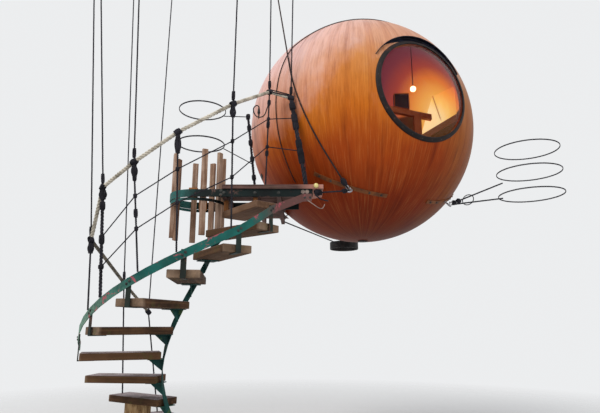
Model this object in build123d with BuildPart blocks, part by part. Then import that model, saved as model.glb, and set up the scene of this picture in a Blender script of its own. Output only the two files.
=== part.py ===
# Tree house: a hollow wooden sphere hung beside a tree trunk, with the landing and the
# spiral stair that wind round the trunk.
# The origin is on the flat face of the bearing block that presses on the near side of the
# trunk. X runs along the landing to the sphere, Y runs from the stair side through the
# trunk, Z is up. Millimetres.
import os
from math import acos, cos, degrees, hypot, radians, sin, sqrt, tan

from build123d import *

os.makedirs("parts", exist_ok=True)

# Trunk and landing
trunk_radius = 250.0
seat_gap = 0.3
block_thickness = 37.0
block_width = 90.0
strap_thickness = 12.0
strap_height = 80.0
board_thickness = 45.0
board_pitch = 136.0
board_gap = 6.0
board_count = 11
board_overhang = 16.0
deck_trunk_gap = 1.0
deck_start_x = trunk_radius + block_thickness + strap_thickness + deck_trunk_gap
deck_far_start_x = 560.0
deck_end_x = 1340.0
near_leg_end = 1230.0
sphere_clearance = 30.0
joist_width = 45.0
joist_places = (deck_start_x + joist_width / 2, 640.0, 880.0)
bolt_radius = 8.0
bolt_gap = 2.5

# Stair
rise = 236.5
riser_count = 12
tread_turn = 25.7
first_tread_azimuth = 96.6
upper_tread_azimuth = 322.0
tread_width = 280.0
tread_thickness = 70.0
tread_trunk_gap = 50.0
tread_inner_radius = trunk_radius + tread_trunk_gap
tread_outer_radius = 1030.0
landing_step_azimuth = 307.3
landing_step_offset = 307.0
landing_step_start = 240.0
landing_step_end = 900.0
rail_band_clearance = 30.0
rail_band_radius = tread_outer_radius + rail_band_clearance
rail_band_thickness = 8.0
rail_band_height = 80.0
rail_band_above_tread = 130.0
rail_band_first_tread = 5
rail_band_low_share = 1 / 3
rail_band_seat_start = 1135.0
rail_band_seat_end = 1220.0
rail_band_seat_level = -52.0
inner_band_trunk_gap = 22.0
inner_band_radius = trunk_radius + inner_band_trunk_gap
inner_band_thickness = 10.0
inner_band_height = 110.0
shelf_thickness = 8.0
shelf_length = 150.0
shelf_width = 180.0
gusset_drop = 120.0
bracket_width = 50.0
bracket_thickness = 8.0
bracket_length = 150.0
log_radius = 138.0
log_azimuth = 147.0
log_inset = 290.0
log_reach = tread_outer_radius - log_inset

# Battens that shield the bark
batten_width = 60.0
batten_azimuths = (292.0, 333.0, 20.0, 68.0, 112.0, 160.0, 200.0)
batten_bottom = -430.0
batten_top = 490.0
hoop_height = 30.0
hoop_thickness = 4.0
hoop_drop = 5.0

# Sphere
sphere_radius = 1400.0
sphere_bearing = Vector(872.0, 1157.0, 39.0).normalized()
sphere_standoff = 49.33
corner_knot_back = 227.0
corner_knot_height = 968.0
knot_inset = 20.0
wall = 50.0
cap_radius = 60.0
cap_thickness = 10.0
door_start_azimuth = 160.0
door_end_azimuth = 188.0
door_step = 100.0
door_height = 1450.0
door_seam = 6.0
door_leaf_thickness = 44.0
floor_thickness = 30.0

# Windows
window_azimuth = 295.0
window_latitude = 2.0
back_window_latitude = -window_latitude
window_radius = 550.0
ring_width = 38.0
ring_thickness = 22.0
bubble_rise = 165.0
bubble_thickness = 8.0
visor_gap = 52.0
visor_thickness = 4.0
visor_depth = 34.0
visor_half_angle = 59.0

# Anchors on the underside of the sphere
anchor_latitude = -44.5
anchor_azimuths = (256.0, 339.0, 76.0, 159.0)
anchor_leans = (1, -1, 1, -1)
strap_width = 44.0
anchor_strap_thickness = 9.0
anchor_strap_sweep = 34.0
anchor_strap_tilt = 24.0
eye_radius = 26.0
eye_bar_radius = 9.0
eye_stem = 40.0

# Eyes at the rope ends
thimble_outer_radius = 38.0
thimble_inner_radius = 24.0
thimble_thickness = 14.0

deck_top = strap_height / 2 + board_thickness
ground_level = deck_top - riser_count * rise
trunk_axis = Vector(0, trunk_radius, 0)
collar_inner_radius = trunk_radius + block_thickness
collar_outer_radius = collar_inner_radius + strap_thickness
near_leg_face = trunk_axis.Y - collar_inner_radius
far_leg_face = trunk_axis.Y + collar_inner_radius
deck_near_edge = near_leg_face - strap_thickness - board_overhang

# The sphere hangs a standoff away from the knot at the outer corner of the landing
corner_knot = Vector(
    near_leg_end - corner_knot_back, deck_near_edge + knot_inset, deck_top + corner_knot_height
)
sphere_centre = corner_knot + sphere_bearing * (sphere_radius + sphere_standoff)


def direction(azimuth, latitude=0.0):
    """Unit vector that points to an azimuth and a latitude, both in degrees."""
    level = cos(radians(latitude))
    return Vector(
        level * cos(radians(azimuth)), level * sin(radians(azimuth)), sin(radians(latitude))
    )


def stair_point(azimuth, radius, height):
    """Point at a radius from the trunk's axis."""
    return trunk_axis + direction(azimuth) * radius + Vector(0, 0, height)


def sphere_point(azimuth, latitude, radius):
    """Point at a radius from the sphere's centre."""
    return sphere_centre + direction(azimuth, latitude) * radius


def half_plane(centre, axis, side):
    """Plane whose local X points to the side and whose local Y follows the axis."""
    return Plane(origin=centre, x_dir=side, z_dir=side.cross(axis))


def clearance_along(run, other, run_radius, other_radius):
    """How far a rope's flat end stays back from a crossing rope's centre line."""
    angle = radians(run.get_angle(other))
    return (other_radius + seat_gap + run_radius * abs(cos(angle))) / sin(angle)


def laid_rope(start, end, lift, radius):
    """Rope that lies on the sphere along a great circle between two directions."""
    axis = start.cross(end).normalized()
    with BuildPart() as piece:
        with BuildSketch(half_plane(sphere_centre, axis, start)):
            with Locations((sphere_radius + lift, 0)):
                Circle(radius)
        revolve(axis=Axis(sphere_centre, axis), revolution_arc=start.get_angle(end))
    return piece.part


def rope(start, end, radius):
    """Straight rope between two points."""
    with BuildPart() as piece:
        with BuildSketch(Plane(origin=start, z_dir=end - start)):
            Circle(radius)
        extrude(amount=(end - start).length)
    return piece.part


def slide_to(point, run, radius, target):
    """Point moved along a run until a rope's flat end there lies a seat gap short of the target."""
    for _ in range(60):
        with BuildSketch(Plane(origin=point, z_dir=run), mode=Mode.PRIVATE) as end:
            Circle(radius)
        clear = end.sketch.distance_to(target) - seat_gap
        if clear < 0.02:
            break
        point += run * clear
    return point


def rope_eye(centre, axis):
    """Flat ring at the end of a rope."""
    with BuildPart() as piece:
        with BuildSketch(Plane(origin=centre - axis * thimble_thickness / 2, z_dir=axis)):
            Circle(thimble_outer_radius)
            Circle(thimble_inner_radius, mode=Mode.SUBTRACT)
        extrude(amount=thimble_thickness)
    return piece.part


def save(part, label):
    """Name a finished piece and write its file."""
    part.label = label
    export_step(part, f"parts/{label}.step")


def tread_top(number):
    """Height of the top of a tread, counted from the ground."""
    return ground_level + number * rise


def tread_azimuth(number):
    """Direction of a tread from the trunk's axis."""
    if number == riser_count - 2:
        return upper_tread_azimuth
    return first_tread_azimuth + tread_turn * (number - 1)


def band_stations(parts_per_tread, first_number=1):
    """Azimuth and tread-line height along the flight, from one tread to the tenth."""
    stations = []
    for number in range(first_number, riser_count - 2):
        start = tread_azimuth(number)
        end = tread_azimuth(number + 1)
        for part in range(parts_per_tread):
            share = part / parts_per_tread
            stations.append((start + share * (end - start), tread_top(number) + share * rise))
    stations.append((tread_azimuth(riser_count - 2), tread_top(riser_count - 2)))
    return stations


# Steel strap that runs along both sides of the landing and round the trunk
def leg_end(leg_y):
    """Where a leg of the strap stops short of the sphere."""
    level_radius = sqrt((sphere_radius + sphere_clearance) ** 2 - (sphere_centre.Z - strap_height / 2) ** 2)
    offset = abs(leg_y - sphere_centre.Y)
    if offset >= level_radius:
        return sphere_centre.X - sphere_radius / 2
    return sphere_centre.X - sqrt(level_radius**2 - offset**2)


far_leg_end = leg_end(far_leg_face + strap_thickness)

with BuildPart() as collar_frame:
    with BuildSketch(Plane.XY.offset(-strap_height / 2)):
        with BuildLine():
            Line((near_leg_end, near_leg_face), (0, near_leg_face))
            ThreePointArc(
                (0, near_leg_face), (-collar_inner_radius, trunk_axis.Y), (0, far_leg_face)
            )
            Line((0, far_leg_face), (far_leg_end, far_leg_face))
            Line((far_leg_end, far_leg_face), (far_leg_end, far_leg_face + strap_thickness))
            Line((far_leg_end, far_leg_face + strap_thickness), (0, far_leg_face + strap_thickness))
            ThreePointArc(
                (0, far_leg_face + strap_thickness),
                (-collar_outer_radius, trunk_axis.Y),
                (0, near_leg_face - strap_thickness),
            )
            Line((0, near_leg_face - strap_thickness), (near_leg_end, near_leg_face - strap_thickness))
            Line((near_leg_end, near_leg_face - strap_thickness), (near_leg_end, near_leg_face))
        make_face()
    extrude(amount=strap_height)
save(collar_frame.part, "collar_frame")

# Blocks between the strap and the trunk, at the near and the far side
block_height = strap_height + 40
with BuildPart() as bearing_block_near:
    with BuildSketch(Plane.XY.offset(-block_height / 2)):
        with Locations((trunk_axis.X, trunk_axis.Y)):
            Circle(collar_inner_radius - seat_gap)
        with Locations((0, -block_thickness)):
            Rectangle(block_width, block_thickness, align=(Align.CENTER, Align.MIN), mode=Mode.INTERSECT)
    extrude(amount=block_height)
save(bearing_block_near.part, "bearing_block_near")

with BuildPart() as bearing_block_far:
    add(mirror(bearing_block_near.part, about=Plane.XZ.offset(-trunk_axis.Y)))
save(bearing_block_far.part, "bearing_block_far")

# Clamp bolts that close the collar beside the trunk
bolt_reach = far_leg_face - near_leg_face - 2 * seat_gap
bolt_place_x = deck_start_x - bolt_radius - bolt_gap
with BuildPart() as clamp_bolts:
    for level in (-strap_height / 4, strap_height / 4):
        with BuildSketch(Plane.XZ.offset(-near_leg_face - seat_gap)):
            with Locations((bolt_place_x, level)):
                Circle(bolt_radius)
        extrude(amount=-bolt_reach)
save(clamp_bolts.part, "clamp_bolts")

# Battens round the trunk, outer faces against the inside of the collar
batten_outer = sqrt(collar_inner_radius**2 - (batten_width / 2) ** 2) - seat_gap
with BuildPart() as trunk_battens:
    for azimuth in batten_azimuths:
        batten_base = stair_point(azimuth, trunk_radius, batten_bottom)
        batten_plane = Plane(origin=batten_base, x_dir=direction(azimuth), z_dir=(0, 0, 1))
        with BuildSketch(batten_plane):
            Rectangle(batten_outer - trunk_radius, batten_width, align=(Align.MIN, Align.CENTER))
        extrude(amount=batten_top - batten_bottom)
save(trunk_battens.part, "trunk_battens")

# Thin hoop under the strap that holds the battens on the side of the landing
hoop_inner = hypot(batten_outer, batten_width / 2) + seat_gap
with BuildPart() as batten_hoop:
    with BuildSketch(Plane.XY.offset(-strap_height / 2 - hoop_drop)):
        with Locations((trunk_axis.X, trunk_axis.Y)):
            Circle(hoop_inner + hoop_thickness)
            Circle(hoop_inner, mode=Mode.SUBTRACT)
    extrude(amount=-hoop_height)
save(batten_hoop.part, "batten_hoop")

# Landing: joists between and beyond the legs, boards on top
deck_far_edge = deck_near_edge + board_count * board_pitch - board_gap


def joist_runs(place_x):
    """Start and end of the joist stretches at one place along the landing."""
    between = (near_leg_face + seat_gap, far_leg_face - seat_gap)
    if place_x < deck_far_start_x:
        return (between,)
    beyond = (far_leg_face + strap_thickness + seat_gap, deck_far_edge - board_overhang)
    return (between, beyond)


with BuildPart() as deck_joists:
    for place_x in joist_places:
        for start, end in joist_runs(place_x):
            with BuildSketch(Plane.XY.offset(-strap_height / 2)):
                with Locations((place_x, (start + end) / 2)):
                    Rectangle(joist_width, end - start)
            extrude(amount=strap_height)
    with Locations(sphere_centre):
        Sphere(sphere_radius + sphere_clearance, mode=Mode.SUBTRACT)
save(deck_joists.part, "deck_joists")

with BuildPart() as deck_boards:
    for index in range(board_count):
        board_y = deck_near_edge + index * board_pitch
        beside_trunk = board_y + board_pitch < far_leg_face + strap_thickness
        board_start = deck_start_x if beside_trunk else deck_far_start_x
        with BuildSketch(Plane.XY.offset(strap_height / 2)):
            with Locations((board_start, board_y)):
                Rectangle(deck_end_x - board_start, board_pitch - board_gap, align=(Align.MIN, Align.MIN))
        extrude(amount=board_thickness)
    with Locations(sphere_centre):
        Sphere(sphere_radius + sphere_clearance, mode=Mode.SUBTRACT)
save(deck_boards.part, "deck_boards")

# Stair treads, one solid each
with BuildPart() as treads:
    for number in range(1, riser_count - 1):
        azimuth = tread_azimuth(number)
        tread_plane = Plane(
            origin=stair_point(azimuth, 0, tread_top(number)), x_dir=direction(azimuth), z_dir=(0, 0, 1)
        )
        with BuildSketch(tread_plane):
            with Locations(((tread_inner_radius + tread_outer_radius) / 2, 0)):
                Rectangle(tread_outer_radius - tread_inner_radius, tread_width)
        extrude(amount=-tread_thickness)
save(treads.part, "treads")

# Top step, set across the corner between the trunk, the tenth tread and the landing
step_side = direction(landing_step_azimuth + 90)
with BuildPart() as landing_step:
    step_origin = stair_point(0, 0, tread_top(riser_count - 1)) + step_side * landing_step_offset
    with BuildSketch(Plane(origin=step_origin, x_dir=direction(landing_step_azimuth), z_dir=(0, 0, 1))):
        with Locations((landing_step_start, 0)):
            Rectangle(
                landing_step_end - landing_step_start, tread_width, align=(Align.MIN, Align.CENTER)
            )
    extrude(amount=-tread_thickness)
save(landing_step.part, "landing_step")

# Blocks that hang the top step from two joists
step_block_size = (joist_width, 60.0)
step_block_places = ((joist_places[0], 146.0), (joist_places[1], 15.0))
step_top = tread_top(riser_count - 1)
with BuildPart() as step_blocks:
    for place in step_block_places:
        with BuildSketch(Plane.XY.offset(step_top)):
            with Locations(place):
                Rectangle(*step_block_size)
        extrude(amount=-strap_height / 2 - step_top)
save(step_blocks.part, "step_blocks")

# Outer band of the stair, a flat steel helix above the tread ends, from the fifth tread up
band_low_end = (
    tread_azimuth(rail_band_first_tread) - rail_band_low_share * tread_turn,
    tread_top(rail_band_first_tread) - rail_band_low_share * rise,
)
with BuildPart() as outer_band:
    for azimuth, height in [band_low_end, *band_stations(3, rail_band_first_tread)]:
        band_plane = Plane(
            origin=stair_point(azimuth, rail_band_radius, height + rail_band_above_tread),
            x_dir=direction(azimuth),
            z_dir=direction(azimuth + 90),
        )
        with BuildSketch(band_plane):
            Rectangle(rail_band_thickness, rail_band_height)
    seat_y = near_leg_face - strap_thickness - rail_band_thickness / 2 - seat_gap
    for seat_x in (rail_band_seat_start, rail_band_seat_end):
        seat_origin = (seat_x, seat_y, rail_band_seat_level)
        with BuildSketch(Plane(origin=seat_origin, x_dir=(0, -1, 0), z_dir=(1, 0, 0))):
            Rectangle(rail_band_thickness, rail_band_height)
    loft(ruled=True)
save(outer_band.part, "outer_band")

# Inner band, a steel helix on the trunk with a folded shelf and gusset under each tread
inner_band_drop = tread_thickness + inner_band_height / 2
with BuildPart() as inner_band:
    for azimuth, height in band_stations(2):
        band_plane = Plane(
            origin=stair_point(azimuth, inner_band_radius, height - inner_band_drop),
            x_dir=direction(azimuth),
            z_dir=direction(azimuth + 90),
        )
        with BuildSketch(band_plane):
            Rectangle(inner_band_thickness, inner_band_height)
    loft(ruled=True)
    for number in range(1, riser_count - 1):
        azimuth = tread_azimuth(number)
        shelf_level = tread_top(number) - tread_thickness
        shelf_plane = Plane(
            origin=stair_point(azimuth, inner_band_radius, shelf_level),
            x_dir=direction(azimuth),
            z_dir=(0, 0, 1),
        )
        with BuildSketch(shelf_plane):
            Rectangle(shelf_length, shelf_width, align=(Align.MIN, Align.CENTER))
        extrude(amount=-shelf_thickness)
        gusset_plane = Plane(
            origin=stair_point(azimuth, inner_band_radius, shelf_level)
            + direction(azimuth + 90) * shelf_thickness / 2,
            x_dir=direction(azimuth),
            z_dir=direction(azimuth - 90),
        )
        with BuildSketch(gusset_plane):
            with BuildLine():
                Polyline((0, 0), (shelf_length, 0), (0, -gusset_drop), close=True)
            make_face()
        extrude(amount=shelf_thickness)
save(inner_band.part, "inner_band")

# Brackets that hang the outer tread ends from the band
half_bracket = bracket_width / 2
band_sagitta = half_bracket * tan(radians(tread_turn / 6))
bracket_outer = rail_band_radius - rail_band_thickness / 2 - band_sagitta - seat_gap
with BuildPart() as tread_brackets:
    for number in range(rail_band_first_tread, riser_count - 1):
        azimuth = tread_azimuth(number)
        underside = tread_top(number) - tread_thickness
        band_top = tread_top(number) + rail_band_above_tread + rail_band_height / 2
        bracket_plane = Plane(
            origin=stair_point(azimuth, 0, underside) + direction(azimuth + 90) * half_bracket,
            x_dir=direction(azimuth),
            z_dir=direction(azimuth - 90),
        )
        with BuildSketch(bracket_plane):
            with BuildLine():
                Polyline(
                    (bracket_outer - bracket_length, 0),
                    (bracket_outer - bracket_thickness, 0),
                    (bracket_outer - bracket_thickness, band_top - underside),
                    (bracket_outer, band_top - underside),
                    (bracket_outer, -bracket_thickness),
                    (bracket_outer - bracket_length, -bracket_thickness),
                    close=True,
                )
            make_face()
        extrude(amount=bracket_width)
save(tread_brackets.part, "tread_brackets")

# Sawn log under the third tread
log_top = tread_top(3) - tread_thickness
with BuildPart() as log_footing:
    log_base = stair_point(log_azimuth, log_reach, ground_level)
    with BuildSketch(Plane(origin=log_base, z_dir=(0, 0, 1))):
        Circle(log_radius)
    extrude(amount=log_top - ground_level)
save(log_footing.part, "log_footing")

# Sphere shell in gores that meet on meridians
vertical = Vector(0, 0, 1)


def window_axis(azimuth, latitude):
    """Outward direction of a round window."""
    return direction(azimuth, latitude)


def gore(start, end):
    """Shell sector between two azimuths, open at both poles."""
    sweep = (end - start) % 360
    with BuildPart() as sector:
        with BuildSketch(half_plane(sphere_centre, vertical, direction(start))) as section:
            Circle(sphere_radius)
            Circle(sphere_radius - wall, mode=Mode.SUBTRACT)
            with Locations((cap_radius, 0)):
                Rectangle(
                    sphere_radius * 2,
                    sphere_radius * 3,
                    align=(Align.MIN, Align.CENTER),
                    mode=Mode.INTERSECT,
                )
        revolve(axis=Axis(sphere_centre, vertical), revolution_arc=sweep)
    return sector.part


def window_hole(azimuth, latitude):
    """Cylinder along a window's axis, for cutting the shell."""
    hole_plane = Plane(origin=sphere_centre, z_dir=window_axis(azimuth, latitude))
    with BuildPart() as hole:
        with BuildSketch(hole_plane):
            Circle(window_radius)
        extrude(amount=sphere_radius * 1.5)
    return hole.part


windows = {
    "front": (window_azimuth, window_latitude),
    "back": (window_azimuth - 180, back_window_latitude),
}

plain_gores = {
    "shell_front_left": (door_end_azimuth, window_azimuth - 30),
    "shell_right": (window_azimuth + 30, window_azimuth + 90),
    "shell_back_right": (window_azimuth + 90, window_azimuth + 150),
    "shell_back_left": (window_azimuth - 150, door_start_azimuth),
}
for label, (start, end) in plain_gores.items():
    with BuildPart() as shell_gore:
        add(gore(start, end))
    save(shell_gore.part, label)

for side, (azimuth, latitude) in windows.items():
    with BuildPart() as shell_gore:
        add(gore(azimuth - 30, azimuth + 30))
        add(window_hole(azimuth, latitude), mode=Mode.SUBTRACT)
    save(shell_gore.part, f"shell_{side}_window")

# Door sector: shell above and below, and the leaf between
door_bottom = deck_top + door_step
door_top = door_bottom + door_height
with BuildPart() as shell_door_surround:
    add(gore(door_start_azimuth, door_end_azimuth))
    with BuildSketch(Plane.XY.offset(door_bottom)):
        with Locations((sphere_centre.X - sphere_radius, sphere_centre.Y)):
            Rectangle(sphere_radius * 2 - 200, sphere_radius * 2)
    extrude(amount=door_height, mode=Mode.SUBTRACT)
save(shell_door_surround.part, "shell_door_surround")

door_middle = (door_start_azimuth + door_end_azimuth) / 2
seam_angle = degrees(door_seam / sphere_radius)
with BuildPart() as door_leaf:
    with BuildSketch(half_plane(sphere_centre, vertical, direction(door_start_azimuth + seam_angle))):
        Circle(sphere_radius)
        Circle(sphere_radius - door_leaf_thickness, mode=Mode.SUBTRACT)
        with Locations((0, door_bottom - sphere_centre.Z + door_seam)):
            Rectangle(
                sphere_radius * 2,
                door_height - 2 * door_seam,
                align=(Align.MIN, Align.MIN),
                mode=Mode.INTERSECT,
            )
    revolve(
        axis=Axis(sphere_centre, vertical),
        revolution_arc=door_end_azimuth - door_start_azimuth - 2 * seam_angle,
    )
save(door_leaf.part, "door_leaf")

# Round caps where the gores end at the poles
pole_drop = sqrt(sphere_radius**2 - cap_radius**2)
with BuildPart() as shell_caps:
    with BuildSketch(Plane.XY.offset(sphere_centre.Z + pole_drop + seat_gap)):
        with Locations((sphere_centre.X, sphere_centre.Y)):
            Circle(cap_radius * 1.5)
    extrude(amount=cap_thickness)
    with BuildSketch(Plane.XY.offset(sphere_centre.Z - pole_drop - seat_gap)):
        with Locations((sphere_centre.X, sphere_centre.Y)):
            Circle(cap_radius)
    extrude(amount=-cap_thickness)
save(shell_caps.part, "shell_caps")

# Cabin floor, bevelled to sit on the inside of the shell
with BuildPart() as cabin_floor:
    with BuildSketch(Plane.XY.offset(door_bottom - floor_thickness)):
        with Locations((sphere_centre.X, sphere_centre.Y)):
            Circle(sphere_radius)
    extrude(amount=floor_thickness)
    with Locations(sphere_centre):
        Sphere(sphere_radius - wall - seat_gap, mode=Mode.INTERSECT)
save(cabin_floor.part, "cabin_floor")

# Windows: ring, domed pane and visor
rim_depth = sqrt(sphere_radius**2 - window_radius**2)
ring_outer_radius = window_radius + ring_width
for side, (azimuth, latitude) in windows.items():
    axis = window_axis(azimuth, latitude)
    up = (vertical - axis * axis.dot(vertical)).normalized()
    profile_plane = half_plane(sphere_centre, axis, up)
    with BuildPart() as window_ring:
        with BuildSketch(profile_plane):
            Circle(sphere_radius + ring_thickness)
            Circle(sphere_radius + seat_gap, mode=Mode.SUBTRACT)
            with Locations((window_radius, 0)):
                Rectangle(
                    ring_width, sphere_radius * 2, align=(Align.MIN, Align.MIN), mode=Mode.INTERSECT
                )
        revolve(axis=Axis(sphere_centre, axis))
    save(window_ring.part, f"window_ring_{side}")

    pane_edge = window_radius - seat_gap
    dome_radius = (pane_edge**2 + bubble_rise**2) / (2 * bubble_rise)
    dome_centre = rim_depth + bubble_rise - dome_radius
    with BuildPart() as window_pane:
        with BuildSketch(profile_plane):
            with Locations((0, dome_centre)):
                Circle(dome_radius)
                Circle(dome_radius - bubble_thickness, mode=Mode.SUBTRACT)
            with Locations((0, rim_depth)):
                Rectangle(
                    sphere_radius, sphere_radius, align=(Align.MIN, Align.MIN), mode=Mode.INTERSECT
                )
        revolve(axis=Axis(sphere_centre, axis))
    save(window_pane.part, f"window_pane_{side}")

    visor_radius = ring_outer_radius + visor_gap
    visor_foot = sqrt((sphere_radius + seat_gap) ** 2 - visor_radius**2)
    tip_height = visor_radius * cos(radians(visor_half_angle))
    slope = visor_depth / (visor_radius - tip_height)
    with BuildPart() as window_visor:
        start_side = up.rotate(Axis((0, 0, 0), axis), -visor_half_angle)
        with BuildSketch(half_plane(sphere_centre, axis, start_side)):
            with Locations((visor_radius, visor_foot)):
                Rectangle(visor_thickness, visor_depth + 20, align=(Align.MIN, Align.MIN))
        revolve(axis=Axis(sphere_centre, axis), revolution_arc=2 * visor_half_angle)
        front_edge = sphere_centre + axis * (visor_foot + 14) + up * tip_height
        front_normal = (axis - up * slope).normalized()
        split(bisect_by=Plane(origin=front_edge, z_dir=front_normal), keep=Keep.BOTTOM)
    save(window_visor.part, f"window_visor_{side}")

# Cabin framing seen through the front window
cabin_setback = -212.0
cabin_middle = sphere_centre + Vector(0, cabin_setback, 0)
cabin_plane = Plane(origin=cabin_middle, x_dir=(1, 0, 0), z_dir=(0, -1, 0))
cabin_depth = 70.0
floor_level = door_bottom + seat_gap - sphere_centre.Z
inner_radius = sphere_radius - wall - seat_gap
with BuildPart() as cabin_frame:
    with BuildSketch(cabin_plane):
        with BuildLine():
            Polyline(
                (305, 303), (885, 176), (885, 106), (752, 135), (752, floor_level),
                (662, floor_level), (662, 155), (305, 233), close=True,
            )
        make_face()
    extrude(amount=cabin_depth / 2, both=True)
save(cabin_frame.part, "cabin_frame")

with BuildPart() as cabin_cupboard:
    with BuildSketch(cabin_plane):
        with BuildLine():
            Polyline((422, 278), (607, 237.5), (607, 454), (422, 454), close=True)
        make_face()
    extrude(amount=cabin_depth / 2, both=True)
save(cabin_cupboard.part, "cabin_cupboard")

panel_thickness = 24.0
panel_origin = cabin_middle + Vector(0, cabin_depth / 2 + seat_gap, 0)
panel_plane = Plane(origin=panel_origin, x_dir=(1, 0, 0), z_dir=(0, -1, 0))
with BuildPart() as cabin_panel:
    with BuildSketch(panel_plane):
        with BuildLine():
            Polyline((727, -170), (1223, 125), (1219, 594), (927, 454), close=True)
        make_face()
    extrude(amount=-panel_thickness)
    with Locations(sphere_centre):
        Sphere(inner_radius, mode=Mode.INTERSECT)
save(cabin_panel.part, "cabin_panel")

lamp_place = cabin_middle + Vector(676, 0, 538)
lamp_radius = 38.0
lamp_cord = 6.0
with BuildPart() as cabin_lamp:
    with Locations(lamp_place):
        Sphere(lamp_radius)
    lamp_ceiling = sphere_centre.Z + sqrt(
        inner_radius**2 - (lamp_place.X - sphere_centre.X) ** 2 - (lamp_place.Y - sphere_centre.Y) ** 2
    )
    cord_start = Vector(lamp_place.X, lamp_place.Y, lamp_ceiling - 8)
    add(rope(lamp_place, cord_start, lamp_cord))
save(cabin_lamp.part, "cabin_lamp")

# Flat straps with forged eyes, four round the underside
with BuildPart() as anchor_straps:
    for azimuth, lean in zip(anchor_azimuths, anchor_leans):
        outward = direction(azimuth, anchor_latitude)
        level_side = direction(azimuth + 90)
        upward = outward.cross(level_side).normalized()
        tilt = radians(anchor_strap_tilt)
        along = level_side * cos(tilt) - upward * lean * sin(tilt)
        across = outward.cross(along).normalized()
        start = outward.rotate(Axis((0, 0, 0), across), -anchor_strap_sweep / 2)
        with BuildSketch(half_plane(sphere_centre, across, start)):
            with Locations((sphere_radius + seat_gap, 0)):
                Rectangle(anchor_strap_thickness, strap_width, align=(Align.MIN, Align.CENTER))
        revolve(axis=Axis(sphere_centre, across), revolution_arc=anchor_strap_sweep)
save(anchor_straps.part, "anchor_straps")

with BuildPart() as anchor_eyes:
    for azimuth in anchor_azimuths:
        outward = direction(azimuth, anchor_latitude)
        foot = sphere_point(azimuth, anchor_latitude, sphere_radius + anchor_strap_thickness + 2 * seat_gap)
        with BuildSketch(Plane(origin=foot, z_dir=outward)):
            Circle(eye_bar_radius - 1.5)
        extrude(amount=eye_stem - eye_bar_radius / 2)
        eye_centre = foot + outward * (eye_stem + eye_radius - eye_bar_radius / 2)
        with BuildSketch(Plane(origin=eye_centre, x_dir=outward, z_dir=direction(azimuth + 90))):
            with Locations((eye_radius, 0)):
                Circle(eye_bar_radius)
        ring_axis = Axis(eye_centre, outward.cross(direction(azimuth + 90)))
        revolve(axis=ring_axis)
save(anchor_eyes.part, "anchor_eyes")

# Rope fittings


def tread_line(azimuth):
    """Height of the line through the tread tops at an azimuth of the flight."""
    last_regular = tread_azimuth(riser_count - 3)
    if azimuth <= last_regular:
        return tread_top(1) + rise * (azimuth - first_tread_azimuth) / tread_turn
    return tread_top(riser_count - 3) + rise * (azimuth - last_regular) / (upper_tread_azimuth - last_regular)


def band_top_point(azimuth):
    """Point on the top edge of the outer band."""
    height = tread_line(azimuth) + rail_band_above_tread + rail_band_height / 2
    return stair_point(azimuth, rail_band_radius, height + seat_gap)


# Rope railing: uprights on the low treads, on the band and on the landing, and their knots
thin_rope = 9.0
thick_rope = 16.0
post_rope = 24.0
handrail_radius = 19.0
knot_radius = 30.0
knot_length = 70.0
mid_rope_radius = 6.0
deck_rest = deck_top + seat_gap
upright_plan = (
    (131.0, 131.0, 1031.0, thin_rope),
    (150.0, 150.0, 1175.0, thin_rope),
    (222.0, 216.3, 818.5, thin_rope),
    (233.4, 226.3, 1188.6, thick_rope),
    (255.4, 248.7, 1157.0, thin_rope),
    (273.1, 270.6, 1251.0, thin_rope),
    (297.9, 296.8, 1345.0, thin_rope),
)
foot_inset = 45.0
uprights = []
for base_azimuth, knot_azimuth, knot_height, radius in upright_plan:
    knot = stair_point(knot_azimuth, rail_band_radius, tread_line(base_azimuth) + knot_height)
    foot = band_top_point(base_azimuth)
    if base_azimuth < band_low_end[0]:
        number = round((base_azimuth - first_tread_azimuth) / tread_turn) + 1
        foot_level = tread_top(number) + seat_gap
        foot = stair_point(tread_azimuth(number), tread_outer_radius - foot_inset, foot_level)
    uprights.append((foot, knot, radius))
upright_inset = 25.0
landing_knot = Vector(near_leg_end - 458, deck_near_edge + knot_inset, deck_top + 1037)
landing_uprights = ((485.0, landing_knot, thin_rope), (69.0, corner_knot, post_rope))
for foot_back, knot, radius in landing_uprights:
    foot = Vector(near_leg_end - foot_back, deck_near_edge + upright_inset, deck_rest)
    uprights.append((foot, knot, radius))
far_post_base = Vector(deck_far_start_x + 34, far_leg_face + 53, deck_rest)
far_post_top = Vector(deck_far_start_x - 82, far_leg_face + 53, deck_top + 1025)


def knot_direction(knots, index):
    """Direction in which the handrail runs through a knot."""
    before = knots[max(index - 1, 0)]
    after = knots[min(index + 1, len(knots) - 1)]
    return (after - before).normalized()


def standing_start(base, lean, radius):
    """Lowest point of a leaning rope's centre line whose flat end just clears a level surface."""
    return base + lean * (radius * hypot(lean.X, lean.Y) / abs(lean.Z))


knot_approach = hypot(knot_radius, knot_length / 2) + thick_rope * 2


near_knots = [top for base, top, radius in uprights]
band_low_level = band_low_end[1] + rail_band_above_tread

with BuildPart() as rail_knots:
    for index, knot in enumerate(near_knots):
        half = knot_direction(near_knots, index) * knot_length / 2
        add(rope(knot - half, knot + half, knot_radius))
    half = Vector(0, 0, knot_length / 2)
    add(rope(far_post_top - half, far_post_top + half, knot_radius))
save(rail_knots.part, "rail_knots")

with BuildPart() as handrail:
    for index in range(len(near_knots) - 1):
        leave = knot_direction(near_knots, index)
        arrive = knot_direction(near_knots, index + 1)
        start = near_knots[index] + leave * (knot_length / 2 + seat_gap)
        end = near_knots[index + 1] - arrive * (knot_length / 2 + seat_gap)
        run = (end - start).normalized()
        start += run * handrail_radius * tan(radians(run.get_angle(leave)))
        end -= run * handrail_radius * tan(radians(run.get_angle(arrive)))
        add(rope(start, end, handrail_radius))
save(handrail.part, "handrail")

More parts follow.
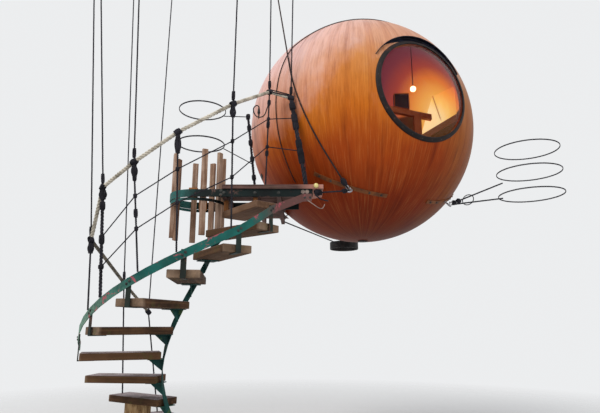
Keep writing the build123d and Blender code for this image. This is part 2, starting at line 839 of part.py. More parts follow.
with BuildPart() as rail_uprights:
    for base, top, radius in uprights:
        lean = (top - base).normalized()
        start = standing_start(base, lean, radius)
        if band_low_level < base.Z < deck_top:
            start = slide_to(start + lean * radius, -lean, radius, outer_band.part)
        add(rope(start, slide_to(top - lean * knot_approach, lean, radius, rail_knots.part), radius))
    lean = (far_post_top - far_post_base).normalized()
    start = standing_start(far_post_base, lean, thick_rope)
    end = slide_to(far_post_top - lean * knot_approach, lean, thick_rope, rail_knots.part)
    add(rope(start, end, thick_rope))
save(rail_uprights.part, "rail_uprights")

# Thin ropes between the uprights, at two heights given as shares of the upright
mid_rope_shares = [(0.53, 0.265), (0.68, 0.38), (0.68, 0.40), (0.69, 0.40), (0.70, 0.40), (0.76, 0.38)]
net_uprights = uprights[3:]
with BuildPart() as mid_ropes:
    for level in (0, 1):
        for step in range(len(mid_rope_shares) - 1):
            ends = []
            for offset in (0, 1):
                base, top, radius = net_uprights[step + offset]
                share = mid_rope_shares[step + offset][level]
                ends.append((base + (top - base) * share, top - base, radius))
            (start, start_lean, start_radius), (end, end_lean, end_radius) = ends
            run = (end - start).normalized()
            start += run * clearance_along(run, start_lean, mid_rope_radius, start_radius)
            end -= run * clearance_along(run, end_lean, mid_rope_radius, end_radius)
            add(rope(start, end, mid_rope_radius))
save(mid_ropes.part, "mid_ropes")

# Ropes that hang the railing from above, each with an eye at its top
hanger_radius = 8.0
hanger_rises = {
    0: Vector(26.4, 12.0, 4269.0),
    1: Vector(-174.0, 0.0, 3750.0),
    2: Vector(-219.7, -2.5, 2644.0),
    3: Vector(-216.7, -0.7, 2169.0),
    4: Vector(-92.0, 2.6, 1948.0),
    6: Vector(8.1, 0.1, 1319.0),
    7: Vector(1.0, 0.0, 1228.0),
    8: Vector(18.0, 0.0, 1297.0),
}
with BuildPart() as hanger_ropes:
    for index, hanger_rise in hanger_rises.items():
        top = near_knots[index] + hanger_rise
        run = hanger_rise.normalized()
        start = slide_to(near_knots[index] + run * knot_approach, -run, hanger_radius, rail_knots.part)
        add(rope(start, top, hanger_radius))
        add(rope_eye(top + run * (thimble_outer_radius - 2), direction(0)))
save(hanger_ropes.part, "hanger_ropes")

# Iron scroll hook with a small bell, tied to the first upright on the landing
hook_rod = 6.0
hook_path = ((768, 977), (744, 908), (702, 832), (649, 830), (609, 885), (610, 936), (638, 959), (663, 942))
bell_profile = ((0, 0), (7, 0), (16, -69), (9, -80), (4, -137), (0, -137))
hook_foot, hook_knot, hook_upright_radius = uprights[-2]
hook_offset = hook_knot - Vector(772, 0, 1122)
hook_tie_share = (hook_path[0][1] - 85) / 1037
hook_tie_y = hook_foot.Y + (hook_knot.Y - hook_foot.Y) * hook_tie_share
hook_plane_y = hook_tie_y - hook_upright_radius - hook_rod - seat_gap
with BuildPart() as scroll_hook:
    points = [Vector(x + hook_offset.X, hook_plane_y, z + hook_offset.Z) for x, z in hook_path]
    with BuildLine() as hook_line:
        Spline(*points)
    with BuildSketch(Plane(origin=hook_line.line @ 0, z_dir=hook_line.line % 0)):
        Circle(hook_rod)
    sweep()
    with BuildSketch(Plane(origin=points[-1], x_dir=(1, 0, 0), z_dir=(0, -1, 0))):
        with BuildLine():
            Polyline(*bell_profile, close=True)
        make_face()
    revolve(axis=Axis(points[-1], (0, 0, 1)))
save(scroll_hook.part, "scroll_hook")

# Slings round the three trees that carry the part
sling_bar = 16.0
trunk_sling_levels = {"upper": 1039.0, "lower": 637.0}
right_tree = Vector(sphere_centre.X + sphere_radius + 670, sphere_centre.Y - 162, 0)
right_tree_radius = 370.0
right_sling_levels = (821.0, 525.0, 240.0)


def sling(centre, tree_radius, level):
    """Square-section ring round a tree."""
    with BuildPart() as ring:
        with BuildSketch(Plane.XY.offset(level - sling_bar / 2)):
            with Locations((centre.X, centre.Y)):
                Circle(tree_radius + sling_bar)
                Circle(tree_radius, mode=Mode.SUBTRACT)
        extrude(amount=sling_bar)
    return ring.part


with BuildPart() as trunk_sling_upper:
    add(sling(trunk_axis, trunk_radius, trunk_sling_levels["upper"]))
save(trunk_sling_upper.part, "trunk_sling_upper")

with BuildPart() as trunk_sling_lower:
    add(sling(trunk_axis, trunk_radius, trunk_sling_levels["lower"]))
save(trunk_sling_lower.part, "trunk_sling_lower")

with BuildPart() as right_tree_slings:
    for level in right_sling_levels:
        add(sling(right_tree, right_tree_radius, level))
save(right_tree_slings.part, "right_tree_slings")

back_tree = Vector(sphere_centre.X - 78, sphere_centre.Y + sphere_radius + 338, -102)
back_tree_radius = 206.0
collar_height = 105.0
with BuildPart() as back_tree_collar:
    with BuildSketch(Plane.XY.offset(back_tree.Z - collar_height / 2)):
        with Locations((back_tree.X, back_tree.Y)):
            Circle(back_tree_radius + sling_bar)
            Circle(back_tree_radius, mode=Mode.SUBTRACT)
    extrude(amount=collar_height)
save(back_tree_collar.part, "back_tree_collar")

# Suspension ropes
main_rope_radius = 9.5
eye_lift = anchor_strap_thickness + 2 * seat_gap + eye_stem + eye_radius - eye_bar_radius / 2
lay_radius = sphere_radius + main_rope_radius + seat_gap
front_rope_leave = direction(229.7, 14.4)
front_rope_rise = 1750.0
with BuildPart() as front_rope:
    from_anchor = direction(anchor_azimuths[0], anchor_latitude)
    across = from_anchor.cross(front_rope_leave).normalized()
    lift_angle = degrees(acos(lay_radius / (sphere_radius + eye_lift)))
    touch = from_anchor.rotate(Axis((0, 0, 0), across), lift_angle)
    eye_centre = sphere_centre + from_anchor * (sphere_radius + eye_lift)
    touch_point = sphere_centre + touch * lay_radius
    toward_eye = (eye_centre - touch_point).normalized()
    lower_end = eye_centre - toward_eye * (eye_radius + eye_bar_radius + seat_gap)
    add(rope(lower_end, touch_point, main_rope_radius))
    add(laid_rope(touch, front_rope_leave, main_rope_radius + seat_gap, main_rope_radius))
    leave_point = sphere_centre + front_rope_leave * lay_radius
    top_point = leave_point + across.cross(front_rope_leave) * front_rope_rise
    add(rope(leave_point, top_point, main_rope_radius))
    upward = (top_point - leave_point).normalized()
    add(rope_eye(top_point + upward * (thimble_outer_radius - 2), direction(0)))
save(front_rope.part, "front_rope")

crown_rope_azimuth = 222.0
crown_rope_bottom = -38.0
crown_rope_turn = 34.0
crown_rope_aim = direction(251.0, 53.0)
crown_rope_over = 95.0
crown_rope_radius = 6.0
with BuildPart() as crown_rope:
    low = direction(crown_rope_azimuth, crown_rope_bottom)
    turn = direction(crown_rope_azimuth, crown_rope_turn)
    over_axis = turn.cross(crown_rope_aim).normalized()
    over = turn.rotate(Axis((0, 0, 0), over_axis), crown_rope_over)
    add(laid_rope(low, turn, crown_rope_radius + seat_gap, crown_rope_radius))
    add(laid_rope(turn, over, crown_rope_radius + seat_gap, crown_rope_radius))
save(crown_rope.part, "crown_rope")

# Stays: sphere to the right-hand tree and the landing, far post to the trunk, landing to the back tree
front_eye = sphere_point(anchor_azimuths[0], anchor_latitude, sphere_radius + eye_lift)
right_eye = sphere_point(anchor_azimuths[1], anchor_latitude, sphere_radius + eye_lift)
back_eye = sphere_point(anchor_azimuths[2], anchor_latitude, sphere_radius + eye_lift)
eye_reach = eye_radius + eye_bar_radius
stay_approach = 60.0
with BuildPart() as stay_ropes:
    for level, shift in zip(right_sling_levels[1:], (1, -1)):
        toward_anchor = Vector(right_eye.X - right_tree.X, right_eye.Y - right_tree.Y, 0).normalized()
        sling_face = right_tree + toward_anchor * (right_tree_radius + sling_bar) + Vector(0, 0, level)
        run = (sling_face - right_eye).normalized()
        side = run.cross(vertical).normalized() * (main_rope_radius + 0.5)
        start = right_eye + run * (eye_reach + main_rope_radius) + side * shift
        run = (sling_face + side * shift - start).normalized()
        near_sling = sling_face + side * shift - run * stay_approach
        end = slide_to(near_sling, run, main_rope_radius, right_tree_slings.part)
        add(rope(start, end, main_rope_radius))
    post_ties = ((1.0, trunk_sling_upper, rail_knots), (0.42, trunk_sling_lower, rail_uprights))
    for post_share, ring, holder in post_ties:
        post_point = far_post_base + (far_post_top - far_post_base) * post_share
        toward = Vector(post_point.X - trunk_axis.X, post_point.Y - trunk_axis.Y, 0).normalized()
        ring_level = ring.part.center().Z
        ring_face = trunk_axis + toward * (trunk_radius + sling_bar) + Vector(0, 0, ring_level)
        run = (post_point - ring_face).normalized()
        start = slide_to(ring_face + run * stay_approach, -run, mid_rope_radius, ring.part)
        end = slide_to(post_point - run * stay_approach, run, mid_rope_radius, holder.part)
        add(rope(start, end, mid_rope_radius))
    start = Vector(near_leg_end + thin_rope + 2, near_leg_face - strap_thickness / 2, 0)
    run = (front_eye - start).normalized()
    start = slide_to(start + run * 20, -run, thin_rope, collar_frame.part)
    end = slide_to(front_eye - run * (eye_reach + stay_approach), run, thin_rope, anchor_eyes.part)
    add(rope(start, end, thin_rope))
    landing_edge = Vector(joist_places[2], deck_far_edge - board_overhang, 0)
    run = (landing_edge - back_tree).normalized()
    start = back_tree + run * (back_tree_radius + sling_bar + stay_approach)
    start = slide_to(start, -run, main_rope_radius, back_tree_collar.part)
    end = slide_to(landing_edge - run * stay_approach, run, main_rope_radius, deck_joists.part)
    add(rope(start, end, main_rope_radius))
    run = (back_tree + Vector(0, 0, collar_height / 4) - back_eye).normalized()
    start = slide_to(back_eye + run * (eye_reach + stay_approach), -run, main_rope_radius, anchor_eyes.part)
    near_eye = back_eye + run * (eye_reach + 2 * stay_approach)
    end = slide_to(near_eye, run, main_rope_radius, back_tree_collar.part)
    add(rope(start, end, main_rope_radius))
save(stay_ropes.part, "stay_ropes")

# Small fittings at the outer corner of the landing
corner_face = near_leg_face - strap_thickness - rail_band_thickness - 2 * seat_gap
with BuildPart() as corner_fittings:
    start = Vector(1171, corner_face - 7, -79)
    elbow = Vector(1315, corner_face - 7, -176)
    add(rope(start, elbow, 7))
    with Locations(elbow):
        Sphere(7.5)
    add(rope(elbow, Vector(1352, corner_face - 7, -128), 6.5))
    for shackle_x in (1130.0, 1172.0):
        shackle_level = rail_band_seat_level + rail_band_height / 2 + 21 + seat_gap
        shackle_centre = Vector(shackle_x, near_leg_face - strap_thickness - 5 - seat_gap, shackle_level)
        with BuildSketch(Plane(origin=shackle_centre, x_dir=(1, 0, 0), z_dir=(0, 0, 1))):
            with Locations((16, 0)):
                Circle(5)
        revolve(axis=Axis(shackle_centre, (0, 1, 0)))
save(corner_fittings.part, "corner_fittings")

ball_radius = 25.0
with BuildPart() as corner_ball:
    with Locations((1264, deck_near_edge - ball_radius - seat_gap, 65)):
        Sphere(ball_radius)
save(corner_ball.part, "corner_ball")
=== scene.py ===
# %% [markdown]
# A cabin shaped like a hollow wooden ball hangs in ropes. Beside it a steel strap clamps a landing,
# and a stair winds up to the landing between two steel bands. The packed solids give every size,
# so the first cell loads them. All lengths are metres.

import math
import random

import bmesh
import bpy
from mathutils import Matrix, Vector
from mathutils import noise as chance_field


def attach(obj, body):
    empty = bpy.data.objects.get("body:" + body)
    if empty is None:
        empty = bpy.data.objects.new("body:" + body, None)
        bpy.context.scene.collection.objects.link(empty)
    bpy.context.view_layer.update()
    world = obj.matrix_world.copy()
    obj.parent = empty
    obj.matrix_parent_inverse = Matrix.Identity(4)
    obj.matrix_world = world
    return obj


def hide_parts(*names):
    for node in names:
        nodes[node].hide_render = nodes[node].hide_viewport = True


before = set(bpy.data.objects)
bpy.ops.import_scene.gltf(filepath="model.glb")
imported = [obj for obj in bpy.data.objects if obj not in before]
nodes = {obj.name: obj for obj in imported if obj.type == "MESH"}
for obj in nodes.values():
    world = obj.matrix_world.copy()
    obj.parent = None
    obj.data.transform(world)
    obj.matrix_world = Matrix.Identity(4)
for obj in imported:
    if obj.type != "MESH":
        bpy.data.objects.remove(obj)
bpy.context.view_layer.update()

# %% [markdown]
# The camera stands at eye height in front of the stair and looks up a little. A longer lens from
# farther away would flatten the ball, so a 30 mm lens on a 36 mm sensor stands five metres away: it
# widens the ball towards the edge of the picture, as the photograph does.

# %% Camera
east, north, plumb = Vector((1, 0, 0)), Vector((0, 1, 0)), Vector((0, 0, 1))
stair_middle = Vector((0.0, 0.25, 0.0))
foot_level = -2.753
look_up = 13.3


def add_object(name, data):
    """Put some data in the scene as an object."""
    made = bpy.data.objects.new(name, data)
    bpy.context.scene.collection.objects.link(made)
    return made


camera_data = bpy.data.cameras.new("viewpoint")
camera_data.lens = 30.0
camera_data.sensor_width = 36.0
camera = add_object("viewpoint", camera_data)
camera.location = (1.10, -5.00, -1.315)
camera.rotation_euler = (math.radians(90 + look_up), 0, 0)
bpy.context.scene.camera = camera
bpy.context.scene.view_settings.view_transform = "Standard"
print("camera at", tuple(camera.location))

# %% [markdown]
# A finish is a material whose colours come from noise, ramps and a few sums. Wiring nodes by hand
# hides the idea, so an output is wrapped in a small class: adding or multiplying two outputs adds
# the Math node.


# %% Node outputs that can be summed
class Flow:
    """One output of a node, usable in sums."""

    def __init__(self, wiring, socket):
        self.wiring = wiring
        self.socket = socket

    def maths(self, operation, *terms):
        return self.wiring.node("ShaderNodeMath", {"operation": operation}, dict(enumerate(terms)))

    def output(self, name):
        """Another output of the same node."""
        return Flow(self.wiring, self.socket.node.outputs[name])

    def __add__(self, other):
        return self.maths("ADD", self, other)

    def __sub__(self, other):
        return self.maths("SUBTRACT", self, other)

    def __rsub__(self, other):
        return self.maths("SUBTRACT", other, self)

    def __mul__(self, other):
        return self.maths("MULTIPLY", self, other)

    def __truediv__(self, other):
        return self.maths("DIVIDE", self, other)

    def __pow__(self, other):
        return self.maths("POWER", self, other)

    __radd__ = __add__
    __rmul__ = __mul__

    def floor(self):
        return self.maths("FLOOR", self)

    def fraction(self):
        return self.maths("FRACT", self)

    def size(self):
        return self.maths("ABSOLUTE", self)


print("node outputs can be summed")

# %% [markdown]
# Colours are written as screen values from 0 to 255, as a colour picker shows them, and turned into
# the linear numbers that shaders use. One method makes any node from its type, its settings and
# its sockets' values, for a material as well as for the world.


# %% Screen tones and nodes
def tone(red, green, blue):
    """Colour from 0-255 screen values, as the linear numbers that shaders use."""
    shares = [value / 255 for value in (red, green, blue)]
    linear = [s / 12.92 if s <= 0.04045 else ((s + 0.055) / 1.055) ** 2.4 for s in shares]
    return (*linear, 1.0)


class Wiring:
    """The nodes of a material or of the world."""

    def __init__(self, node_tree):
        self.node_tree = node_tree

    def feed(self, socket, value):
        if isinstance(value, Flow):
            self.node_tree.links.new(value.socket, socket)
        else:
            socket.default_value = value

    def node(self, kind, settings=None, values=None, out=0):
        """Any node: its settings first, then the values or links of its sockets."""
        made = self.node_tree.nodes.new(kind)
        for name, value in (settings or {}).items():
            if name == "stops":
                self.set_stops(made.color_ramp, value)
            else:
                setattr(made, name, value)
        for key, value in (values or {}).items():
            self.feed(made.inputs[key], value)
        return Flow(self, made.outputs[out])

    def set_stops(self, ramp, stops):
        for place, colour in stops[1:-1]:
            ramp.elements.new(place)
        for element, (place, colour) in zip(ramp.elements, stops):
            element.position = place
            element.color = tone(*colour)


print("a screen value of 128 is", round(tone(128, 128, 128)[0], 3), "to a shader")

# %% [markdown]
# Every finish starts from the Principled shader. The same few steps come back in all of them: read
# the place, make noise from it, turn the noise into a mask, and lay another colour on through that
# mask. Each step is a short method, so that a finish reads like a list of its layers.


# %% Finishes
class Finish(Wiring):
    """A material, with the steps that this object's finishes share."""

    def __init__(self, name, **fixed):
        self.material = bpy.data.materials.new(name)
        self.material.use_nodes = True
        super().__init__(self.material.node_tree)
        self.shader = self.node_tree.nodes["Principled BSDF"]
        self.set(**fixed)

    def set(self, **values):
        for name, value in values.items():
            self.feed(self.shader.inputs[name.replace("_", " ")], value)

    def bump(self, height, strength, depth):
        values = {"Height": height, "Strength": strength, "Distance": depth}
        self.set(Normal=self.node("ShaderNodeBump", {}, values))

    def place(self):
        return self.node("ShaderNodeTexCoord", out="Object")

    def grain_place(self):
        """Place along, across and through a board, as stored on its points."""
        return self.node("ShaderNodeAttribute", {"attribute_name": "grain"}, out="Vector")

    def vector(self, operation, place, other, out=0):
        values = {0: place, 1: tuple(other)}
        return self.node("ShaderNodeVectorMath", {"operation": operation}, values, out)

    def stretch(self, place, *shares):
        return self.vector("MULTIPLY", place, shares)

    def from_point(self, place, point):
        return self.vector("SUBTRACT", place, point)

    def distance(self, place, point):
        return self.vector("DISTANCE", place, point, "Value")

    def parts(self, place):
        """The x, y and z of a place."""
        apart = self.node("ShaderNodeSeparateXYZ", {}, {0: place})
        return apart, apart.output("Y"), apart.output("Z")

    def join(self, x, y, z):
        return self.node("ShaderNodeCombineXYZ", {}, {0: x, 1: y, 2: z})

    def noise(self, place, scale, detail, roughness, distortion=0.0):
        values = {"Vector": place, "Scale": scale, "Detail": detail, "Roughness": roughness}
        return self.node("ShaderNodeTexNoise", {}, {**values, "Distortion": distortion})

    def strips(self, run):
        """A chance number for each strip along a run, and the seams between the strips."""
        settings = {"noise_dimensions": "1D"}
        own = self.node("ShaderNodeTexWhiteNoise", settings, {"W": run.floor()})
        return own, self.mask((run.fraction() - 0.5).size(), 0.47, 0.5)

    def mask(self, amount, low, high):
        """0 at low and 1 at high."""
        return self.node("ShaderNodeMapRange", {}, {0: amount, 1: low, 2: high})

    def ramp(self, amount, *stops):
        return self.node("ShaderNodeValToRGB", {"stops": stops}, {"Fac": amount})

    def blend(self, share, first, second, kind="MIX"):
        """A share of the second colour on the first; each is a link or 0-255 values."""
        first, second = (c if isinstance(c, Flow) else tone(*c) for c in (first, second))
        settings = {"data_type": "RGBA", "blend_type": kind}
        return self.node("ShaderNodeMix", settings, {0: share, 6: first, 7: second}, 2)

    def tint(self, colour, by):
        """A colour multiplied by another."""
        return self.blend(1.0, colour, by, "MULTIPLY")

    def fleck(self, colour, other, amount, low, high, share=1.0):
        """Another colour laid on where an amount passes from low to high."""
        return self.blend(self.mask(amount, low, high) * share, colour, other)


print("steps of a finish:", [name for name in vars(Finish) if name[0] != "_"])

# %% [markdown]
# Ropes, bolts, rings and plates are all rows of equal rings, joined by quads. Blender's own
# primitives would have to be bent and joined afterwards, so the rings are made in bmesh: a circle
# of points, the skin between two rings, and the mesh that comes out of it.


# %% Rings, tubes and pieces
def circle(middle, u, v, count, closing=0, start=0.0):
    """Points round an ellipse with half axes u and v; closing=1 repeats the first one."""
    turns = [2 * math.pi * (k + start) / count for k in range(count + closing)]
    return [middle + u * math.cos(turn) + v * math.sin(turn) for turn in turns]


def join_rings(bm, point_rings, caps=True, closed=False):
    """Skin a row of equal rings of points with quads; its ends get caps, or meet if closed."""
    rings = [[bm.verts.new(point) for point in ring] for ring in point_rings]
    if closed:
        rings.append(rings[0])
    made = []
    for low, high in zip(rings, rings[1:]):
        for k in range(len(low)):
            n = (k + 1) % len(low)
            made.append(bm.faces.new((low[k], low[n], high[n], high[k])))
    if caps and not closed:
        bm.faces.new(list(reversed(rings[0])))
        bm.faces.new(rings[-1])
    return made


def to_mesh(bm, name):
    """Smooth mesh data from a bmesh, which is let go."""
    mesh = bpy.data.meshes.new(name)
    bm.to_mesh(mesh)
    bm.free()
    mesh.shade_smooth()
    return mesh


def resample(points, step):
    """Stations at even steps along straight runs."""
    line = [points[0].copy()]
    for start, end in zip(points, points[1:]):
        count = max(1, round((end - start).length / step))
        line += [start.lerp(end, i / count) for i in range(1, count + 1)]
    return line


def frames_along(line):
    """Point, side and other side at each station of a line."""
    stations = []
    side = None
    for i, point in enumerate(line):
        along = (line[min(i + 1, len(line) - 1)] - line[max(i - 1, 0)]).normalized()
        side = side - along * side.dot(along) if side else along.orthogonal()
        side = side.normalized()
        stations.append((point, side, along.cross(side)))
    return stations


def tube(bm, line, radius, sides, caps=True):
    """Add a round tube along a line."""
    rings = [circle(point, u * radius, v * radius, sides) for point, u, v in frames_along(line)]
    join_rings(bm, rings, caps)


def place_piece(name, shape, material, replaced=(), smooth_below=None):
    """Put a mesh or a bmesh in the scene, riding on the part."""
    mesh = to_mesh(shape, name) if isinstance(shape, bmesh.types.BMesh) else shape
    piece = add_object(name, mesh)
    mesh.materials.append(material)
    if smooth_below is not None:
        mesh.shade_smooth()
        mesh.set_sharp_from_angle(angle=math.radians(smooth_below))
    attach(piece, "root")
    if replaced:
        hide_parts(*replaced)
    print(name, "faces:", len(mesh.polygons))
    return piece


print("points on a ring of six:", len(circle(Vector(), east, north, 6)))

# %% [markdown]
# The ball is planked with narrow strips that run from pole to pole under many coats of clear
# varnish. An image would have to be wrapped round the ball, so the place of a point is turned into
# an azimuth and a level instead, and the strips narrow to the poles as real ones do. Each strip has
# a tone of its own and short dark fibres. The body colour follows the height, deep red-brown below
# and pink on top: the dark bottom is partly painted shade and the pink top partly a painted
# reflection. Over it lie a painted pale reflection on the upper left, a golden tone on the right
# and painted shade on the lower right.

# %% Varnished planking
ball_middle = Vector((1.875, 1.112, 1.092))
ball_radius = 1.400
strips_round = 186
# Tones by height: the dark bottom is partly painted shade, the pink top partly a painted
# reflection.
height_tones_with_painted_light = (
    (0.00, (92, 34, 12)),
    (0.12, (122, 42, 10)),
    (0.26, (156, 64, 14)),
    (0.40, (184, 98, 22)),
    (0.54, (188, 114, 46)),
    (0.62, (188, 124, 70)),
    (0.70, (194, 142, 112)),
    (0.86, (198, 148, 122)),
    (1.00, (178, 130, 100)),
)


def varnished_planking():
    finish = Finish("varnished_planking", Coat_Roughness=0.20, Coat_IOR=1.25, IOR=1.25)
    finish.set(Specular_IOR_Level=0.25)
    from_middle = finish.from_point(finish.place(), ball_middle)
    x, y, z = finish.parts(from_middle)
    azimuth = y.maths("ARCTAN2", y, x)
    level = z / ball_radius
    strip_tone, seam = finish.strips(azimuth * (strips_round / (2 * math.pi)) + 400.0)
    fibre_place = finish.join(azimuth * 95.0, level * 5.5, strip_tone * 7.0)
    fibre = finish.noise(fibre_place, 1.0, 6.0, 0.62)
    short_fibre = finish.noise(finish.join(azimuth * 210.0, level * 16.0, 0.0), 1.0, 3.0, 0.6)
    smear = finish.noise(finish.join(azimuth * 17.0, level * 1.9, 4.0), 1.0, 5.0, 0.62)
    cloud = finish.noise(from_middle, 1.3, 3.0, 0.5)
    blotch = finish.noise(finish.stretch(from_middle, 1.0, 1.0, 0.6), 3.4, 4.0, 0.6)
    colour = finish.ramp(level * 0.5 + 0.5 + (cloud - 0.5) * 0.22, *height_tones_with_painted_light)
    # Painted reflection: a pale pink wash over the upper left of the front.
    painted_reflection_side = finish.mask(x * -0.70 + z * 0.60 - y * 0.20 + blotch * 0.5, 0.85, 1.55)
    painted_reflection_side = painted_reflection_side * finish.mask(y, 1.0, -0.4)
    colour = finish.blend(painted_reflection_side * 0.80, colour, (224, 192, 192))
    golden_side = x * 0.9 - z * 0.25 + blotch * 0.4
    colour = finish.fleck(colour, (158, 108, 38), golden_side, 0.95, 1.5, 0.62)
    # Painted shade: the lower right is darkened by a multiplied tone.
    painted_shade_reach = x * 0.80 - z * 0.30 + blotch * 0.3
    shaded = finish.tint(colour, (148, 110, 80))
    colour = finish.fleck(colour, shaded, painted_shade_reach, 0.55, 1.25, 0.62)
    darker_strip = finish.tint(colour, (214, 172, 150))
    colour = finish.fleck(colour, darker_strip, strip_tone, 0.0, 1.0, 0.30)
    colour = finish.fleck(colour, (104, 46, 16), fibre, 0.50, 0.74, 0.34)
    colour = finish.fleck(colour, (92, 42, 20), short_fibre, 0.62, 0.78, 0.26)
    colour = finish.fleck(colour, (230, 166, 96), fibre, 0.48, 0.25, 0.16)
    smeared = finish.tint(colour, (158, 118, 96))
    colour = finish.fleck(colour, smeared, smear, 0.50, 0.72, 0.52)
    haze = finish.mask(blotch, 0.54, 0.70) * 0.34 * finish.mask(level, -0.25, 0.30)
    colour = finish.blend(haze, colour, (180, 150, 146))
    colour = finish.blend(seam * 0.26, colour, (96, 46, 20))
    coat = finish.mask(level, -0.7, 0.3) * 0.14
    finish.set(Base_Color=colour, Roughness=0.46 + cloud * 0.12, Coat_Weight=coat)
    finish.bump(fibre * 0.4 - seam * 0.5, 0.22, 0.0012)
    return finish.material


planking = varnished_planking()
print("planking nodes:", len(planking.node_tree.nodes))

# %% [markdown]
# Sawn timber needs the grain to follow each board, whichever way the board lies. Every solid of a
# mesh gets its own three directions, the longest edge first, and they are stored on the points as
# an attribute that the material reads. Edges get a small bevel, because no board is knife-sharp.

# %% Grain on every board
same_point = 0.00002
flat_within = math.radians(0.4)


def boards_of(mesh):
    """The separate solids of a mesh as lists of point numbers, and all its edges."""
    bm = bmesh.new()
    bm.from_mesh(mesh)
    seen = set()
    groups = []
    for first in bm.verts:
        if first.index in seen:
            continue
        group, to_visit = [], [first]
        seen.add(first.index)
        while to_visit:
            point = to_visit.pop()
            group.append(point.index)
            for edge in point.link_edges:
                other = edge.other_vert(point)
                if other.index not in seen:
                    seen.add(other.index)
                    to_visit.append(other)
        groups.append(group)
    edges = [tuple(v.index for v in edge.verts) for edge in bm.edges]
    bm.free()
    return groups, edges


def grain_axes(points, group, edges):
    """Directions along, across and through one board."""
    members = set(group)
    runs = [points[b] - points[a] for a, b in edges if a in members]
    runs.sort(key=lambda run: -run.length)
    along = runs[0].normalized()
    sides = [(run - along * run.dot(along), run.length) for run in runs]
    across = next((side for side, length in sides if side.length > 0.7 * length), None)
    across = (across or along.orthogonal()).normalized()
    return along, across, along.cross(across)


def store_grain(mesh, seed):
    """Write the grain attribute of a mesh whose solids are not yet bevelled."""
    chance = random.Random(seed)
    points = [v.co.copy() for v in mesh.vertices]
    groups, edges = boards_of(mesh)
    grain = [0.0] * (3 * len(points))
    for group in groups:
        axes = grain_axes(points, group, edges)
        offset = [chance.uniform(-30, 30) for _ in range(3)]
        middle = sum((points[i] for i in group), Vector()) / len(group)
        for i in group:
            for axis in range(3):
                grain[3 * i + axis] = (points[i] - middle).dot(axes[axis]) + offset[axis]
    attribute = mesh.attributes.new("grain", "FLOAT_VECTOR", "POINT")
    attribute.data.foreach_set("vector", grain)
    print(mesh.name, "boards:", len(groups))


def clean_copy(name, node_names):
    """A new mesh with the faces of some solids, its flat faces whole again."""
    bm = bmesh.new()
    for node_name in node_names:
        bm.from_mesh(nodes[node_name].data)
    bmesh.ops.remove_doubles(bm, verts=bm.verts, dist=same_point)
    bmesh.ops.dissolve_limit(bm, angle_limit=flat_within, verts=bm.verts, edges=bm.edges)
    points = [v.co.copy() for v in bm.verts]
    bm.verts.index_update()
    faces = [[v.index for v in face.verts] for face in bm.faces]
    bm.free()
    mesh = bpy.data.meshes.new(name)
    mesh.from_pydata(points, [], faces)
    return mesh


def ease_edges(piece, width, angle):
    """Round the edges that are sharper than an angle."""
    ease = piece.modifiers.new("eased_edges", "BEVEL")
    ease.width = width
    ease.segments = 2
    ease.limit_method = "ANGLE"
    ease.angle_limit = math.radians(angle)


def worn_timber(name, node_names, material, bevel, seed):
    """Boards from solids, with eased edges and grain along each."""
    mesh = clean_copy(name, node_names)
    store_grain(mesh, seed)
    piece = place_piece(name, mesh, material, node_names)
    ease_edges(piece, bevel, 40)


print("points closer than", same_point, "m are merged")

# %% [markdown]
# The treads, the landing and the blocks are softwood that has stood outdoors for years: dark in
# the hollows of the rings, greyed on top, green where it stays damp. The grey on faces that look up
# is partly weathering and partly a painted pale sheen. The same recipe serves all of them, so each
# timber is one row of numbers. Two also turn to a paler tone: the treads at their outer ends, the
# landing planks at their right.


# %% Weathered timber
def along_landing(finish):
    """How far to the right a point lies."""
    return finish.parts(finish.place())[0]


def from_stair_middle(finish):
    """How far from the stair's upright line a point lies."""
    x, y, _ = finish.parts(finish.place())
    return ((x - stair_middle.x) ** 2.0 + (y - stair_middle.y) ** 2.0) ** 0.5


def weathered_timber(name, tones, top_grey_and_sheen, damp=0.0, paler_end=None):
    dark, middle, pale = tones
    finish = Finish(name, Specular_IOR_Level=0.12)
    place = finish.grain_place()
    rings = finish.noise(finish.stretch(place, 1.6, 34.0, 34.0), 1.0, 5.0, 0.6, 0.4)
    fine = finish.noise(finish.stretch(place, 5.0, 190.0, 190.0), 1.0, 4.0, 0.6)
    stain = finish.noise(place, 5.0, 4.0, 0.6)
    own_tone = finish.noise(place, 0.15, 0.0, 0.5)
    ringed = rings * 0.75 + stain * 0.45 - 0.08
    colour = finish.ramp(ringed, (0.28, dark), (0.50, middle), (0.74, pale))
    colour = finish.fleck(colour, dark, fine, 0.55, 0.75, 0.5)
    colour = finish.fleck(colour, pale, own_tone, 0.50, 0.72, 0.55)
    upward = finish.parts(finish.node("ShaderNodeNewGeometry", out="Normal"))[2]
    # Weathering and painted sheen together: faces that look up turn lavender-grey.
    grey_and_painted_sheen = finish.mask(stain + fine * 0.3, 0.42, 0.72) * finish.mask(upward, 0.3, 0.9) * top_grey_and_sheen
    colour = finish.blend(grey_and_painted_sheen, colour, (150, 139, 142))
    # Paler towards one end: the treads' outer ends, the landing planks' right.
    if paler_end:
        measure, start, end, paler_tone = paler_end
        reach = measure(finish) + stain * 0.1
        colour = finish.fleck(colour, paler_tone, reach, start, end, 0.8)
    if damp:
        spots = finish.noise(place, 9.0, 5.0, 0.6)
        colour = finish.fleck(colour, (74, 88, 38), spots, 0.56, 0.68, damp)
    finish.set(Base_Color=colour, Roughness=0.72 + fine * 0.22)
    finish.bump(rings * 0.6 + fine * 0.6, 0.5, 0.003)
    return finish.material


paler_tread_ends = (from_stair_middle, 1.055, 1.115, (150, 128, 108))
paler_board_right = (along_landing, 1.10, 1.28, (176, 124, 110))
